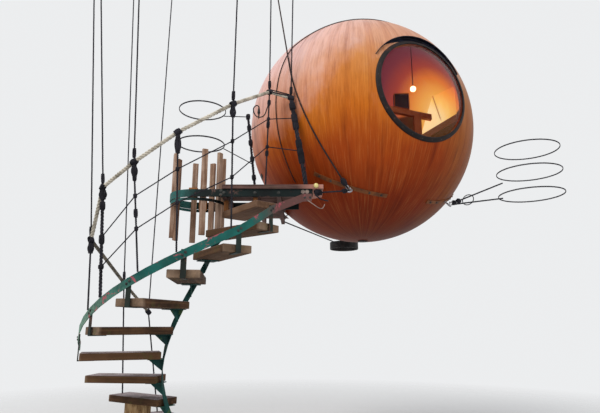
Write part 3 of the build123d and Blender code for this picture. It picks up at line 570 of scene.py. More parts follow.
# Dark, middle and pale tones, grey and painted sheen on top, damp green, paler end.
timber_looks = {
    "tread": (((34, 24, 17), (68, 48, 34), (102, 74, 50)), 1.0, 0.30, paler_tread_ends),
    "step": (((58, 38, 28), (94, 68, 50), (130, 102, 82)), 0.85),
    "board": (((42, 31, 29), (82, 60, 55), (122, 92, 84)), 0.6, 0.1, paler_board_right),
    "joist": (((38, 28, 26), (74, 54, 50), (110, 84, 76)), 0.4, 0.1),
    "batten": (((90, 64, 50), (136, 106, 86), (190, 164, 146)), 0.2, 0.15),
    "block": (((70, 42, 24), (116, 72, 40), (150, 102, 62)), 0.2),
    "cabin": (((150, 78, 44), (206, 120, 70), (236, 164, 104)), 0.0),
}
timber = {}
for kind, looks in timber_looks.items():
    timber[kind] = weathered_timber(f"{kind}_timber", *looks)

for name, node_name, kind, slot_name, bevel, seed in (
    ("stair_treads", "treads", "tread", "weathered_boards", 0.006, 3),
    ("top_step", "landing_step", "step", "weathered_boards", 0.007, 11),
    ("landing_planks", "deck_boards", "board", "weathered_boards", 0.004, 5),
    ("landing_joists", "deck_joists", "joist", "bare_timber", 0.003, 6),
    ("standing_battens", "trunk_battens", "batten", "bare_timber", 0.003, 7),
    ("hanging_blocks", "step_blocks", "block", "bare_timber", 0.003, 8),
):
    worn_timber(name, [node_name], timber[kind], bevel, seed)

# %% [markdown]
# The two stair bands are flat bar painted teal. The paint is chipped to a pink primer and specked
# with rust, and the outer band is bleached towards its low end. The landing's strap is the same
# bar, darker, with a painted teal sheen on its left end. Chips could be painted on by hand, but two
# layers of noise put them everywhere.


# %% Worn paint on steel
def worn_paint(name, paint, deep, primer, chipped, fade=None, end=None):
    finish = Finish(name, Specular_IOR_Level=0.16)
    place = finish.place()
    cloud = finish.noise(place, 3.2, 4.0, 0.6)
    chip = finish.noise(place, 7.0, 6.0, 0.66, 0.6)
    speck = finish.noise(place, 46.0, 4.0, 0.6)
    colour = finish.fleck(deep, paint, cloud, 0.35, 0.65)
    if fade:
        low_end = finish.mask(finish.parts(place)[2], -0.90, -1.45)
        colour = finish.fleck(colour, fade, speck, 0.25, 0.6, low_end * 0.9)
    # An end of another tone: rust on the outer band, a painted sheen on the strap's left end.
    if end:
        start, stop, share, end_tone = end
        reach = finish.parts(place)[0] + chip * 0.5
        colour = finish.fleck(colour, end_tone, reach, start, stop, share)
    bare = finish.mask(chip + speck * 0.12, 0.66 - chipped, 0.72 - chipped)
    colour = finish.blend(bare, colour, primer)
    colour = finish.fleck(colour, (96, 52, 32), speck, 0.66, 0.74, 0.5)
    finish.set(Base_Color=colour, Roughness=0.50 + speck * 0.30)
    finish.bump(speck * 0.3 + bare * -0.4, 0.4, 0.0015)
    return finish.material


bleached = (132, 164, 142)
rusty_end = (0.92, 1.18, 0.9, (104, 66, 62))
# Painted sheen: the strap's left end, where it bends round, turns teal.
painted_sheen_end = (0.30, 0.08, 0.85, (44, 98, 94))
# Paint, deep paint, primer, how much is chipped, fading and one end of another tone.
paint_looks = {
    "band_paint": ((24, 96, 88), (12, 58, 54), (160, 78, 88), 0.025, bleached, rusty_end),
    "inner_band_paint": ((24, 72, 66), (12, 40, 40), (66, 88, 52), 0.0),
    "bracket_paint": ((34, 48, 42), (22, 24, 22), (70, 46, 36), 0.04),
    "strap_paint": ((14, 28, 27), (7, 13, 14), (84, 62, 56), 0.0, None, painted_sheen_end),
}
paint = {name: worn_paint(name, *looks) for name, looks in paint_looks.items()}

for name, node_name, paint_name, slot_name, bevel in (
    ("outer_band_bar", "outer_band", "band_paint", "green_band_steel", 0.0015),
    ("inner_band_bar", "inner_band", "inner_band_paint", "green_band_steel", 0.0015),
    ("tread_bracket_bars", "tread_brackets", "bracket_paint", "green_band_steel", 0.0015),
    ("landing_strap", "collar_frame", "strap_paint", "galvanised_steel", 0.002),
):
    bar = clean_copy(name, [node_name])
    ease_edges(place_piece(name, bar, paint[paint_name], [node_name], 35), bevel, 50)

# %% [markdown]
# Rope is three strands twisted together. A cylinder with a striped bump looks smooth at its
# outline, so each strand is a real tube that winds round the rope's line. The line is given by its
# corner points, and the twist follows the distance along it. The fibre is dull and hairy, with
# grime in clouds: cream on the handrail, grey at its low end, black or brown everywhere else.


# %% Laid rope
def twisted(bm, points, radius, strands=3, sides=6, lay=6.0, steps=9, phase=0.0):
    """Add strands that wind round the line of the points, once round in lay radiuses."""
    pitch = lay * radius
    stations = frames_along(resample(points, pitch / steps))
    half = radius / 2
    for s in range(strands):
        path = []
        run = 0.0
        for i, (point, u, v) in enumerate(stations):
            if i:
                run += (point - stations[i - 1][0]).length
            turn = 2 * math.pi * (s / strands + run / pitch) + phase
            path.append(point + (u * math.cos(turn) + v * math.sin(turn)) * half)
        tube(bm, path, half, sides)


def rope_piece(name, runs, material, slot_name, replaced=(), **how):
    """One piece made of several ropes; each run is (points, radius)."""
    bm = bmesh.new()
    for number, (points, radius) in enumerate(runs):
        twisted(bm, points, radius, phase=number * 1.3, **how)
    place_piece(name, bm, material, replaced)


def fibre(name, dark, pale):
    finish = Finish(name, Specular_IOR_Level=0.25)
    place = finish.place()
    hair = finish.noise(place, 420.0, 3.0, 0.7)
    grime = finish.noise(place, 9.0, 4.0, 0.6)
    colour = finish.fleck(dark, pale, hair * 0.5 + grime * 0.6, 0.42, 0.68)
    finish.set(Base_Color=colour, Roughness=0.82 + hair * 0.15)
    finish.bump(hair, 0.5, 0.001)
    return finish.material


pale_fibre = fibre("pale_fibre", (120, 112, 98), (214, 206, 190))
grey_fibre = fibre("grey_fibre", (58, 54, 48), (132, 124, 110))
black_fibre = fibre("black_fibre", (14, 13, 18), (46, 44, 52))
brown_fibre = fibre("brown_fibre", (26, 18, 20), (64, 50, 46))
print("nodes of one fibre:", len(black_fibre.node_tree.nodes))

# %% [markdown]
# The railing's posts are ropes too, pulled tight between the stair and the handrail. Their feet and
# tops could be read off the solids, but the stair has a plain rule, so the same rule gives the
# points here: an azimuth, a radius, and a tread line that climbs one rise per tread.

# %% Railing points
rise = 0.2365
tread_turn = 25.7
first_azimuth = 96.6
last_azimuth = first_azimuth + tread_turn * 8
landing_azimuth = 322.0
band_radius = 1.060
thin, thick, corner = 0.009, 0.016, 0.024


def heading(azimuth, latitude=0.0):
    """Direction from an azimuth and a latitude in degrees."""
    turn, rise_turn = math.radians(azimuth), math.radians(latitude)
    level = math.cos(rise_turn)
    return Vector((level * math.cos(turn), level * math.sin(turn), math.sin(rise_turn)))


def on_stair(azimuth, radius, height):
    return stair_middle + heading(azimuth) * radius + plumb * height


def tread_line(azimuth):
    """Height of the tread tops at an azimuth."""
    first_top = foot_level + rise
    if azimuth <= last_azimuth:
        return first_top + rise * (azimuth - first_azimuth) / tread_turn
    steepness = rise / (landing_azimuth - last_azimuth)
    return first_top + rise * 8 + steepness * (azimuth - last_azimuth)


def band_top(azimuth):
    return on_stair(azimuth, band_radius, tread_line(azimuth) + 0.170)


def post_top(azimuth, height):
    return on_stair(azimuth, band_radius, height)


uprights = [
    (on_stair(122.3, 0.985, -2.280), post_top(131.0, -1.169), thin),
    (on_stair(148.0, 0.985, -2.0435), post_top(150.0, -0.850), thin),
    (band_top(222.0), post_top(216.3, -0.544), thin),
    (band_top(233.4), post_top(226.3, -0.069), thick),
    (band_top(255.4), post_top(248.7, 0.102), thin),
    (band_top(273.1), post_top(270.6, 0.359), thin),
    (band_top(297.9), post_top(296.8, 0.681), thin),
    (Vector((0.745, -0.040, 0.085)), Vector((0.772, -0.045, 1.122)), thin),
    (Vector((1.161, -0.040, 0.085)), Vector((1.003, -0.045, 1.053)), corner),
]
far_post = (Vector((0.594, 0.590, 0.085)), Vector((0.478, 0.590, 1.110)), thick)
knots = [top for base, top, radius in uprights]
# Where the rope from each knot ends, just above the picture.
hanger_tops = {
    0: Vector((-0.669, 1.062, 3.100)),
    1: Vector((-1.092, 0.780, 2.900)),
    2: Vector((-1.074, -0.380, 2.100)),
    3: Vector((-0.949, -0.517, 2.100)),
    4: Vector((-0.477, -0.735, 2.050)),
    6: Vector((0.486, -0.696, 2.000)),
    7: Vector((0.773, -0.045, 2.350)),
    8: Vector((1.021, -0.045, 2.350)),
}
print("uprights:", len(uprights), "highest knot:", max(k.z for k in knots))

# %% [markdown]
# The handrail is thick cream rope that has greyed on its two lowest runs, so those are a piece of
# their own. The uprights are black. Each run stops a little short of its knot: the lashing that
# covers the gap is wider than both ropes, and the ends stay hidden inside it.


# %% Ropes of the railing
def inset(start, end, first, last):
    """A run shortened at both ends."""
    run = (end - start).normalized()
    return [start + run * first, end - run * last]


rail_radius = 0.019
knot_gap = 0.030
rail_runs = [(inset(a, b, knot_gap, knot_gap), rail_radius) for a, b in zip(knots, knots[1:])]
rope_piece("rail_rope", rail_runs[2:], pale_fibre, "pale_rope", ["handrail"], lay=5.2)
rope_piece("low_rail_rope", rail_runs[:2], grey_fibre, "pale_rope", lay=5.2)
posts = [*uprights, far_post]
upright_runs = [(inset(base, top, 0.004, knot_gap), radius) for base, top, radius in posts]
rope_piece("upright_ropes", upright_runs, black_fibre, "dark_rope", ["rail_uprights"])

# %% [markdown]
# Each crossing of two ropes is lashed with thin black cord: a tight coil along the rope and a few
# turns across it. A dark sleeve would be cheaper, but the coil is a helix of its own, so it stands
# out as a real winding does.


# %% Lashings
def winding(bm, middle, along, inner_radius, length, cord):
    """Coil of cord round a rope, with two turns the other way."""
    along = along.normalized()
    u = along.orthogonal().normalized()
    v = along.cross(u)
    steps = 12 * max(2, round(length / (cord * 2.1)))
    path = []
    for i in range(steps + 1):
        turn = 2 * math.pi * i / 12
        swell = inner_radius + cord * (1 + 0.5 * math.sin(math.pi * i / steps))
        out = u * math.cos(turn) + v * math.sin(turn)
        path.append(middle + along * (i / steps - 0.5) * length + out * swell)
    tube(bm, path, cord, 5)
    for k in (0, 1):
        axis = u * math.cos(k * 2.1) + v * math.sin(k * 2.1)
        across = axis.cross(along) * (inner_radius + cord * 2.6)
        hoop = circle(middle + axis * (k - 0.5) * cord, along * length * 0.45, across, 16, 1)
        tube(bm, hoop, cord, 5, caps=False)


def lashing_piece(name, places, replaced=()):
    """Lashings in one piece; each is (middle, direction, rope radius, length, cord radius)."""
    bm = bmesh.new()
    for place in places:
        winding(bm, *place)
    place_piece(name, bm, black_fibre, replaced)


cord = 0.0045
hanger_radius = 0.008
rail_lashings = []
for i, knot in enumerate(knots):
    along = knots[min(i + 1, len(knots) - 1)] - knots[max(i - 1, 0)]
    rail_lashings.append((knot, along, rail_radius, 0.062, cord))
rail_lashings.append((far_post[1], plumb, thick, 0.060, cord))
lashing_piece("rail_lashings", rail_lashings, ["rail_knots"])

# %% [markdown]
# Down the posts the cord comes again, in short bindings where the net, the blocks and the hanging
# ropes are tied on. Their places are shares of each post's height, read off the photograph.

# %% Bindings on the posts
binding_shares = {
    8: (0.075, (0.90, 0.76, 0.67, 0.46, 0.37, 0.29)),
    7: (0.055, (0.88, 0.64, 0.33)),
    3: (0.055, (0.92, 0.82, 0.5)),
    4: (0.055, (0.85, 0.52)),
}
under_knot = {2: 0.10, 3: 0.09, 4: 0.11, 5: 0.17, 6: 0.10}
bindings = []
for index, (length, shares) in binding_shares.items():
    base, top, radius = uprights[index]
    for number, share in enumerate(shares):
        longer = length + 0.015 * (number % 2)
        bindings.append((base.lerp(top, share), top - base, radius, longer, cord))
for index, length in under_knot.items():
    base, top, radius = uprights[index]
    down = (base - top).normalized()
    middle = top + down * (0.03 + length / 2)
    bindings.append((middle, down, radius + 0.003, length, 0.0052))
base, top, radius = far_post
for share in (0.86, 0.68, 0.48, 0.26):
    bindings.append((base.lerp(top, share), top - base, radius, 0.06, cord))
for i, top in hanger_tops.items():
    run = (top - knots[i]).normalized()
    bindings.append((knots[i] + run * 0.085, run, hanger_radius, 0.085, 0.0042))
lashing_piece("post_bindings", bindings)

first_tie = [knots[7] + plumb * 0.030, knots[8] + plumb * 0.034]
second_tie = [knots[7] + Vector((0, -0.02, -0.004)), knots[8] + Vector((0, -0.02, 0.012))]
tie_radius = 0.0075
tie_runs = [(first_tie, tie_radius), (second_tie, tie_radius)]
rope_piece("corner_ties", tie_runs, black_fibre, "dark_rope", sides=5)

# %% [markdown]
# Thin black ropes fill the railing between its uprights. Typed end points would drift off the
# posts with the first change, so a rope is tied at a share of each upright's height, and its ends
# are worked out from the uprights themselves.

# %% Net of the railing
net_posts = uprights[3:]
net_radius = 0.006
net_shares = [
    (0.53, 0.68, 0.68, 0.69, 0.70, 0.76),
    (0.265, 0.38, 0.40, 0.40, 0.40, 0.38),
]
net_runs = []
net_ties = []
for shares in net_shares:
    ties = [base.lerp(top, share) for (base, top, radius), share in zip(net_posts, shares)]
    net_runs += [([start, end], net_radius) for start, end in zip(ties, ties[1:])]
    for tie, (base, top, radius) in zip(ties, net_posts):
        net_ties.append((tie, top - base, radius, 0.034, 0.004))
rope_piece("railing_net", net_runs, black_fibre, "dark_rope", ["mid_ropes"], sides=5)
lashing_piece("net_knots", net_ties)

# %% [markdown]
# From most knots a thin rope goes on upwards and holds the railing from above. It is one straight
# run to a point just outside the picture. A curve with a bevel would be simpler, but it has no
# strands.

# %% Hanging ropes
thin_how = {"sides": 5, "steps": 7, "lay": 7.0}
hanger_runs = []
for i, top in hanger_tops.items():
    hanger_runs.append((inset(knots[i], top, knot_gap, 0.0), hanger_radius))
rope_piece("hanging_ropes", hanger_runs, black_fibre, "dark_rope", ["hanger_ropes"], **thin_how)

# %% [markdown]
# The ball hangs in ropes that start at forged eyes on its underside, lie on its skin and leave it
# at a tangent. A line drawn by hand would cut into the skin or hover over it, so the points that
# touch the ball are rotations of one direction about the axis of the great circle, which is the
# line that a taut rope takes.

# %% Ropes on the ball
anchor_latitude = -44.5
anchor_azimuths = (256.0, 339.0, 76.0, 159.0)
eye_reach = 1.4711
front_lay = ball_radius + 0.0098
crown_lay = ball_radius + 0.0063


def arc_points(start, toward, radius, count, whole=None):
    """Points on a great circle from one direction to another, or as far as an angle."""
    axis = start.cross(toward).normalized()
    whole = whole or start.angle(toward)
    turns = [Matrix.Rotation(whole * i / count, 3, axis) for i in range(count + 1)]
    return [ball_middle + turn @ start * radius for turn in turns]


anchor_eyes = [ball_middle + heading(a, anchor_latitude) * eye_reach for a in anchor_azimuths]
near_eye, right_eye, back_eye = anchor_eyes[:3]
from_anchor = heading(anchor_azimuths[0], anchor_latitude)
leave = heading(229.7, 14.4)
over_axis = from_anchor.cross(leave).normalized()
touch = Matrix.Rotation(math.acos(front_lay / eye_reach), 3, over_axis) @ from_anchor
leave_point = ball_middle + leave * front_lay
top_point = leave_point + over_axis.cross(leave) * 1.75
toward_eye = (near_eye - (ball_middle + touch * front_lay)).normalized()
front_line = [near_eye - toward_eye * 0.036, *arc_points(touch, leave, front_lay, 60), top_point]
front_run = [(front_line, 0.0095)]
rope_piece("front_rope_laid", front_run, brown_fibre, "dark_rope", ["front_rope"], steps=7)

low, bend, aim = heading(222.0, -38.0), heading(222.0, 34.0), heading(251.0, 53.0)
crown_line = arc_points(low, bend, crown_lay, 50)
crown_line += arc_points(bend, aim, crown_lay, 70, math.radians(95.0))[1:]
crown_run = [(crown_line, 0.006)]
rope_piece("crown_rope_laid", crown_run, brown_fibre, "dark_rope", ["crown_rope"], steps=7)

# %% [markdown]
# Each hanging rope ends in a thimble, the grooved ring that keeps the eye of a rope round. A torus
# would have to be turned into place for every rope, so the ring is a tube round a circle of points
# that already stands in line with its rope.


# %% Eyes of the hanging ropes
def thimble(bm, top, along):
    """Round eye at the top of a rope."""
    along = along.normalized()
    up = (along - east * along.dot(east)).normalized()
    across = east.cross(up)
    ring = circle(top + along * thimble_rise, up * thimble_reach, across * thimble_reach, 32, 1)
    tube(bm, ring, 0.0068, 8, caps=False)


thimble_rise, thimble_reach = 0.036, 0.031
thimble_bm = bmesh.new()
for i, top in hanger_tops.items():
    thimble(thimble_bm, top, top - knots[i])
thimble(thimble_bm, top_point, top_point - leave_point)
place_piece("rope_thimbles", thimble_bm, black_fibre)

# %% [markdown]
# Slings are steel cables that lie in closed rings, two turns each: two rings at the stair's middle
# and three at the far right. A torus has the shape, but a cable is laid like a rope, so the rope
# helper winds its strands round a circle of points.

# %% Slings
right_middle = Vector((3.945, 0.950, 0))
cable_radius, cable_middle = 0.0045, 0.0072
slings = [(stair_middle, 0.250, 1.039), (stair_middle, 0.250, 0.637)]
slings += [(right_middle, 0.370, level) for level in (0.821, 0.525, 0.240)]
sling_runs = []
for middle, radius, level in slings:
    for drop in (-0.004, 0.0042):
        reach = radius + cable_middle
        ring = circle(middle + plumb * (level + drop), east * reach, north * reach, 72, 1)
        sling_runs.append((ring, cable_radius))
sling_nodes = ["trunk_sling_upper", "trunk_sling_lower", "right_tree_slings"]
sling_how = {"sides": 5, "steps": 6, "lay": 7.5}
rope_piece("cable_slings", sling_runs, black_fibre, "galvanised_steel", sling_nodes, **sling_how)

# %% [markdown]
# Short black ropes, the stays, pull the ball and the landing towards the slings and towards the
# collar behind the ball. A stay ends where it meets the ring, so its end is worked out from the
# ring's radius and not typed in.


# %% Stays
def short_of_ring(start, middle, radius):
    """Point where a run from start towards a ring's middle meets the ring."""
    run = middle - start
    plan = math.hypot(run.x, run.y)
    return start + run * (plan - radius) / plan


main_radius = 0.0095
stay_runs = []
for (middle, radius, level), side_way in zip(slings[3:], (1, -1)):
    end = short_of_ring(right_eye, middle + plumb * level, radius + 0.016)
    run = (end - right_eye).normalized()
    side = run.cross(plumb).normalized() * 0.010 * side_way
    stay_runs.append(([right_eye + run * 0.045 + side, end + side], main_radius))
right_ends = [points[1] for points, radius in stay_runs]
for share, (middle, radius, level) in zip((1.0, 0.42), slings):
    post_point = far_post[0].lerp(far_post[1], share)
    toward = ((post_point - middle) * Vector((1, 1, 0))).normalized()
    stay_runs.append(([middle + toward * 0.27 + plumb * level, post_point], 0.006))
landing_stay = Vector((1.241, -0.043, 0.0))
stay_runs.append(([landing_stay, near_eye], 0.009))
back_collar = Vector((1.797, 2.850, -0.102))
collar_radius = 0.222
joist_end = Vector((0.880, 1.409, 0.0))
stay_runs.append(([joist_end, short_of_ring(joist_end, back_collar, collar_radius)], main_radius))
back_hold = short_of_ring(back_eye, back_collar + plumb * 0.02625, collar_radius)
back_run = (back_hold - back_eye).normalized()
stay_runs.append(([back_eye + back_run * 0.037, back_hold], main_radius))
rope_piece("stay_ropes_laid", stay_runs, black_fibre, "dark_rope", ["stay_ropes"])

# %% [markdown]
# The stays are bound near their ends with the same thin cord. One short tail of cord stands off
# the landing's stay, one cord runs from the landing's corner to its post, and one is tied in a loop
# on the right stays. Each is short, so a few points are enough to follow it in the photograph.

# %% Small cords and their bindings
right_run = right_ends[0] - right_eye
tie_run = near_eye - landing_stay
stay_ties = [
    (right_eye + right_run.normalized() * 0.075, right_run, 0.016, 0.045, 0.005),
    (right_eye + right_run.normalized() * 0.14, right_run, 0.016, 0.045, 0.005),
    (landing_stay + tie_run * 0.12, tie_run, 0.017, 0.075, 0.006),
    (landing_stay + tie_run * 0.86, tie_run, 0.011, 0.05, 0.005),
    (near_eye - toward_eye * 0.11, toward_eye, 0.012, 0.085, 0.006),
]
lashing_piece("stay_lashings", stay_ties)

stay_direction = ((right_ends[0] + right_ends[1]) / 2 - right_eye).normalized()
loop_middle = right_eye + stay_direction * 0.265
cord_loop = circle(loop_middle, stay_direction * 0.076, plumb * 0.060, 24, 1)
tail_start = landing_stay + Vector((0.012, -0.012, -0.022))
tail_bends = (Vector((0.060, -0.004, -0.050)), Vector((0.135, -0.004, -0.068)))
tail = [tail_start, *[tail_start + bent for bent in tail_bends]]
corner_post = uprights[8][0].lerp(uprights[8][1], 0.36) + Vector((0.034, -0.020, 0.0))
corner_cord = [Vector((1.176, -0.076, 0.088)), corner_post]
small_cords = [(cord_loop, 0.006), (tail, 0.0075), (corner_cord, 0.0032)]
rope_piece("small_cords", small_cords, black_fibre, "dark_rope", sides=5)

# %% [markdown]
# The ball is a hollow skin. A sphere with holes cut in it has ragged rims, so the skin is turned
# about the line through the two round windows: their rims are then true circles of its grid.

# %% Ball skin
window_axis = heading(295.0, 2.0)
window_radius = 0.550
wall = 0.050


def window_axes(axis):
    """Up and across directions of a window that looks along an axis."""
    up = (plumb - axis * axis.z).normalized()
    return up, up.cross(axis).normalized()


def turned(name, profile, axis, steps):
    """Turn (radius, height along the axis) points about a line through the ball's middle."""
    outs = circle(Vector(), *window_axes(axis), steps)
    bm = bmesh.new()
    rings = [[ball_middle + out * r + axis * h for r, h in profile] for out in outs]
    join_rings(bm, rings, closed=True)
    bmesh.ops.recalc_face_normals(bm, faces=bm.faces)
    return to_mesh(bm, name)


def half_section(radius, start, end, count):
    """(radius, height) points along a circle about the ball's middle."""
    angles = [start + (end - start) * i / count for i in range(count + 1)]
    return [(radius * math.sin(a), radius * math.cos(a)) for a in angles]


outer_start = math.asin(window_radius / ball_radius)
inner_start = math.asin(window_radius / (ball_radius - wall))
section = half_section(ball_radius, outer_start, math.pi - outer_start, 120)
section += half_section(ball_radius - wall, math.pi - inner_start, inner_start, 60)
skin_mesh = turned("ball_skin", section, window_axis, 240)
print("skin faces:", len(skin_mesh.polygons))

# %% [markdown]
# The doorway goes through the wall between two upright planes. It follows no circle of the skin's
# grid, so here a Boolean cut is the right tool. It is made with one block and applied at once, so
# that no cutter stays in the scene.


# %% Doorway
def wedge(start, end, low, high):
    """Block between two azimuths and two heights, seen from the ball's middle."""
    bm = bmesh.new()
    near, far = 0.6, 1.6
    plan = ((start, near), (end, near), (end, far), (start, far))
    corners = [ball_middle + heading(azimuth) * radius for azimuth, radius in plan]
    join_rings(bm, [[(c.x, c.y, z) for c in corners] for z in (low, high)])
    bmesh.ops.recalc_face_normals(bm, faces=bm.faces)
    return to_mesh(bm, "doorway_cut")


def cut_with(piece, cutter_mesh):
    """Boolean difference, applied."""
    cutter = add_object("cutter", cutter_mesh)
    cut = piece.modifiers.new("cut", "BOOLEAN")
    cut.operation = "DIFFERENCE"
    cut.solver = "EXACT"
    cut.object = cutter
    bpy.context.view_layer.update()
    graph = bpy.context.evaluated_depsgraph_get()
    result = bpy.data.meshes.new_from_object(piece.evaluated_get(graph))
    piece.modifiers.remove(cut)
    bpy.data.objects.remove(cutter)
    piece.data = result


door_sides = (160.0, 188.0)
door_heights = (0.185, 1.635)
gores = [name for name in nodes if name.startswith("shell_") and name != "shell_caps"]
skin = place_piece("ball_skin", skin_mesh, planking, gores)
cut_with(skin, wedge(*door_sides, *door_heights))
print("skin faces after the cut:", len(skin.data.polygons))

# %% [markdown]
# Inside, the wall is lined with wood, and a lamp's light is painted into its colour, which glows a
# little: amber near the lamp, maroon farther off, which through the upper pane also stands in as a
# painted reflection, and painted shade in a corner and below the bench. A second shell could carry
# it, but the skin already has a wall of real thickness, so the two finishes share one mesh, and a
# face's distance from the middle picks between them.


# %% Cabin lining
def lining():
    finish = Finish("cabin_lining", Specular_IOR_Level=0.2, Emission_Strength=0.8)
    place = finish.from_point(finish.place(), ball_middle)
    x, y, z = finish.parts(place)
    azimuth = y.maths("ARCTAN2", y, x)
    fibre_run = finish.noise(finish.join(azimuth * 60.0, z * 4.0, 0.0), 1.0, 5.0, 0.6)
    # Painted lamp light: amber near this point, maroon farther off; the wall glows with it.
    from_painted_glow = finish.distance(place, heading(22.0, 20.0) * (ball_radius - wall))
    colour = finish.ramp(
        from_painted_glow * 0.62 + (fibre_run - 0.5) * 0.10,
        (0.06, (255, 228, 146)),
        (0.20, (250, 196, 94)),
        (0.34, (228, 140, 62)),
        (0.46, (168, 78, 66)),
        (0.60, (122, 60, 74)),
        (0.84, (78, 42, 60)),
    )
    # Painted shade in the corner and below the bench.
    corner_shade = finish.mask(azimuth, 0.68, 0.72) * finish.mask(z, 0.66, 0.62)
    bench_shade = finish.mask(z + fibre_run * 0.01, 0.350, 0.330)
    shade = z.maths("MAXIMUM", corner_shade, bench_shade)
    painted_shade_wood = finish.ramp(fibre_run, (0.3, (26, 13, 11)), (0.7, (58, 29, 20)))
    colour = finish.blend(shade * 0.94, colour, painted_shade_wood)
    finish.set(Base_Color=colour, Roughness=0.5 + fibre_run * 0.1, Emission_Color=colour)
    return finish.material


skin.data.materials.clear()
skin.data.materials.append(planking)
skin.data.materials.append(lining())
for face in skin.data.polygons:
    inside = (face.center - ball_middle).length < ball_radius - wall * 0.7
    face.material_index = 1 if inside else 0
skin.data.shade_smooth()
skin.data.set_sharp_from_angle(angle=math.radians(30))
print("faces of the lining:", len([f for f in skin.data.polygons if f.material_index]))

# %% [markdown]
# Metal fittings share one finish: a clear tone, a duller one in clouds, and specks of rust. A fully
# metallic shader would show only the pale studio, so most are part metal and part dull oxide. Only
# the numbers differ between bronze, forged iron, old bolts and the bright steel of the shackles.


# %% Metals
def worn_metal(name, bright, dull, rust, rusted, metallic, rough):
    finish = Finish(name, Metallic=metallic, Specular_IOR_Level=0.2 + 0.3 * metallic)
    place = finish.place()
    cloud = finish.noise(place, 14.0, 4.0, 0.6)
    speck = finish.noise(place, 150.0, 4.0, 0.65)
    colour = finish.fleck(dull, bright, cloud, 0.36, 0.64)
    rusty = finish.mask(cloud * 0.6 + speck * 0.5, 0.62, 0.72) * rusted
    colour = finish.blend(rusty, colour, rust)
    finish.set(Base_Color=colour, Roughness=rough + cloud * 0.22 + rusty * 0.3)
    finish.bump(speck + cloud * 0.6, 0.25, 0.0006)
    return finish.material


orange_rust = (112, 60, 34)
# Bright and dull tones, rust and how much of it, how metallic, how rough.
metal_looks = {
    "bright_steel": ((176, 174, 176), (118, 116, 122), orange_rust, 0.3, 0.6, 0.34),
    "hook_steel": ((160, 142, 132), (104, 90, 84), orange_rust, 0.5, 0.3, 0.4),
    "old_bolt": ((70, 72, 68), (34, 36, 36), orange_rust, 0.7, 0.4, 0.45),
    "dark_bronze": ((32, 21, 20), (11, 8, 9), (88, 50, 34), 0.6, 0.0, 0.5),
    "visor_metal": ((158, 140, 120), (104, 92, 82), (96, 70, 52), 0.4, 0.3, 0.42),
    # hood_shade is painted shade: the dark tone of the hood's shaded side and flashing.
    "hood_shade": ((34, 36, 54), (14, 14, 22), (52, 44, 46), 0.3, 0.4, 0.34),
    "forged_iron": ((44, 42, 42), (20, 19, 20), (84, 50, 34), 0.4, 0.5, 0.5),
    "aged_strap": ((126, 74, 38), (84, 50, 30), (40, 28, 18), 0.7, 0.15, 0.6),
}
metal = {name: worn_metal(name, *looks) for name, looks in metal_looks.items()}


def dress(material, *node_names):
    """Give packed solids their finish."""
    for node_name in node_names:
        for slot in nodes[node_name].material_slots:
            slot.material = material


dress(paint["strap_paint"], "batten_hoop")
dress(metal["old_bolt"], "clamp_bolts")
dress(metal["forged_iron"], "back_tree_collar", "scroll_hook")
dress(metal["aged_strap"], "anchor_straps")
dress(metal["bright_steel"], "anchor_eyes")
dress(metal["dark_bronze"], "shell_caps")
print("metals:", len(metal))

# %% [markdown]
# Bolts, nuts and washers are turned from a short outline with six or twenty sides. They are small
# but catch the light, and a bump would vanish at the outline. One helper adds them to a mesh, so
# each group of fasteners is a single piece.


# %% Fasteners
def spin(bm, place, outward, outline, sides):
    """Add a solid turned from (radius, height) points about an outward line."""
    outward = outward.normalized()
    u = outward.orthogonal().normalized()
    v = outward.cross(u)
    join_rings(bm, [circle(place + outward * h, u * r, v * r, sides) for r, h in outline])


def hex_bolt(bm, place, outward, size):
    """Washer and hexagonal head on a surface."""
    washer = ((size * 1.55, 0.0), (size * 1.55, size * 0.18), (size * 1.4, size * 0.24))
    head = ((size, size * 0.24), (size, size * 0.85), (size * 0.86, size * 0.98))
    spin(bm, place, outward, washer, 20)
    spin(bm, place, outward, head, 6)


def dome_bolt(bm, place, outward, size):
    """Low round head."""
    angles = (0.0, 0.3, 0.6, 0.9, 1.2, 1.45)
    outline = [(size * math.cos(a), size * 0.55 * math.sin(a)) for a in angles]
    spin(bm, place, outward, outline, 14)


def fastener_piece(name, places, shape, size):
    bm = bmesh.new()
    for place, outward in places:
        shape(bm, place, outward, size)
    place_piece(name, bm, metal["old_bolt"], (), 40)


band_face, bolt_foot = 1.064, 1.0655
band_places = []
for azimuth in [first_azimuth + tread_turn * i for i in range(4, 9)] + [landing_azimuth]:
    for along in (-0.013, 0.013):
        turn = azimuth + math.degrees(along / band_face)
        height = tread_line(azimuth) + 0.130 + along * 0.9
        band_places.append((on_stair(turn, bolt_foot, height), heading(turn)))
band_places += [(Vector((x, -0.0573, -0.052)), -north) for x in (1.150, 1.205)]
fastener_piece("band_bolts", band_places, hex_bolt, 0.008)

near_side, far_side = -0.049, 0.549
nut_places = [(Vector((x, near_side, 0.0)), -north) for x in (0.3225, 0.640, 0.880)]
for z in (-0.020, 0.020):
    nut_places.append((Vector((0.2895, near_side, z)), -north))
    nut_places.append((Vector((0.2895, far_side, z)), north))
fastener_piece("clamp_nuts", nut_places, hex_bolt, 0.011)

# %% [markdown]
# Each round window is a bronze ring screwed to the planking, with a rubber bead where it grips the
# pane. Both are one outline turned about the window's line, like work on a lathe, and the screws
# stand at equal steps round the ring.


# %% Window rings
def on_ball(radius, lift):
    """Height along the window's axis of a point over the planking."""
    return math.sqrt((ball_radius + lift) ** 2 - radius**2)


def ring_outline():
    inner = window_radius + 0.0002
    on_skin = 0.0004
    across = ((0.0, on_skin), (0.0, 0.016), (0.003, 0.0205), (0.009, 0.0215), (0.014, 0.0175))
    across += ((0.026, 0.0165), (0.032, 0.0145), (0.0365, 0.010), (0.0378, 0.004))
    across += ((0.0378, on_skin),)
    return [(inner + width, on_ball(inner + width, lift)) for width, lift in across]


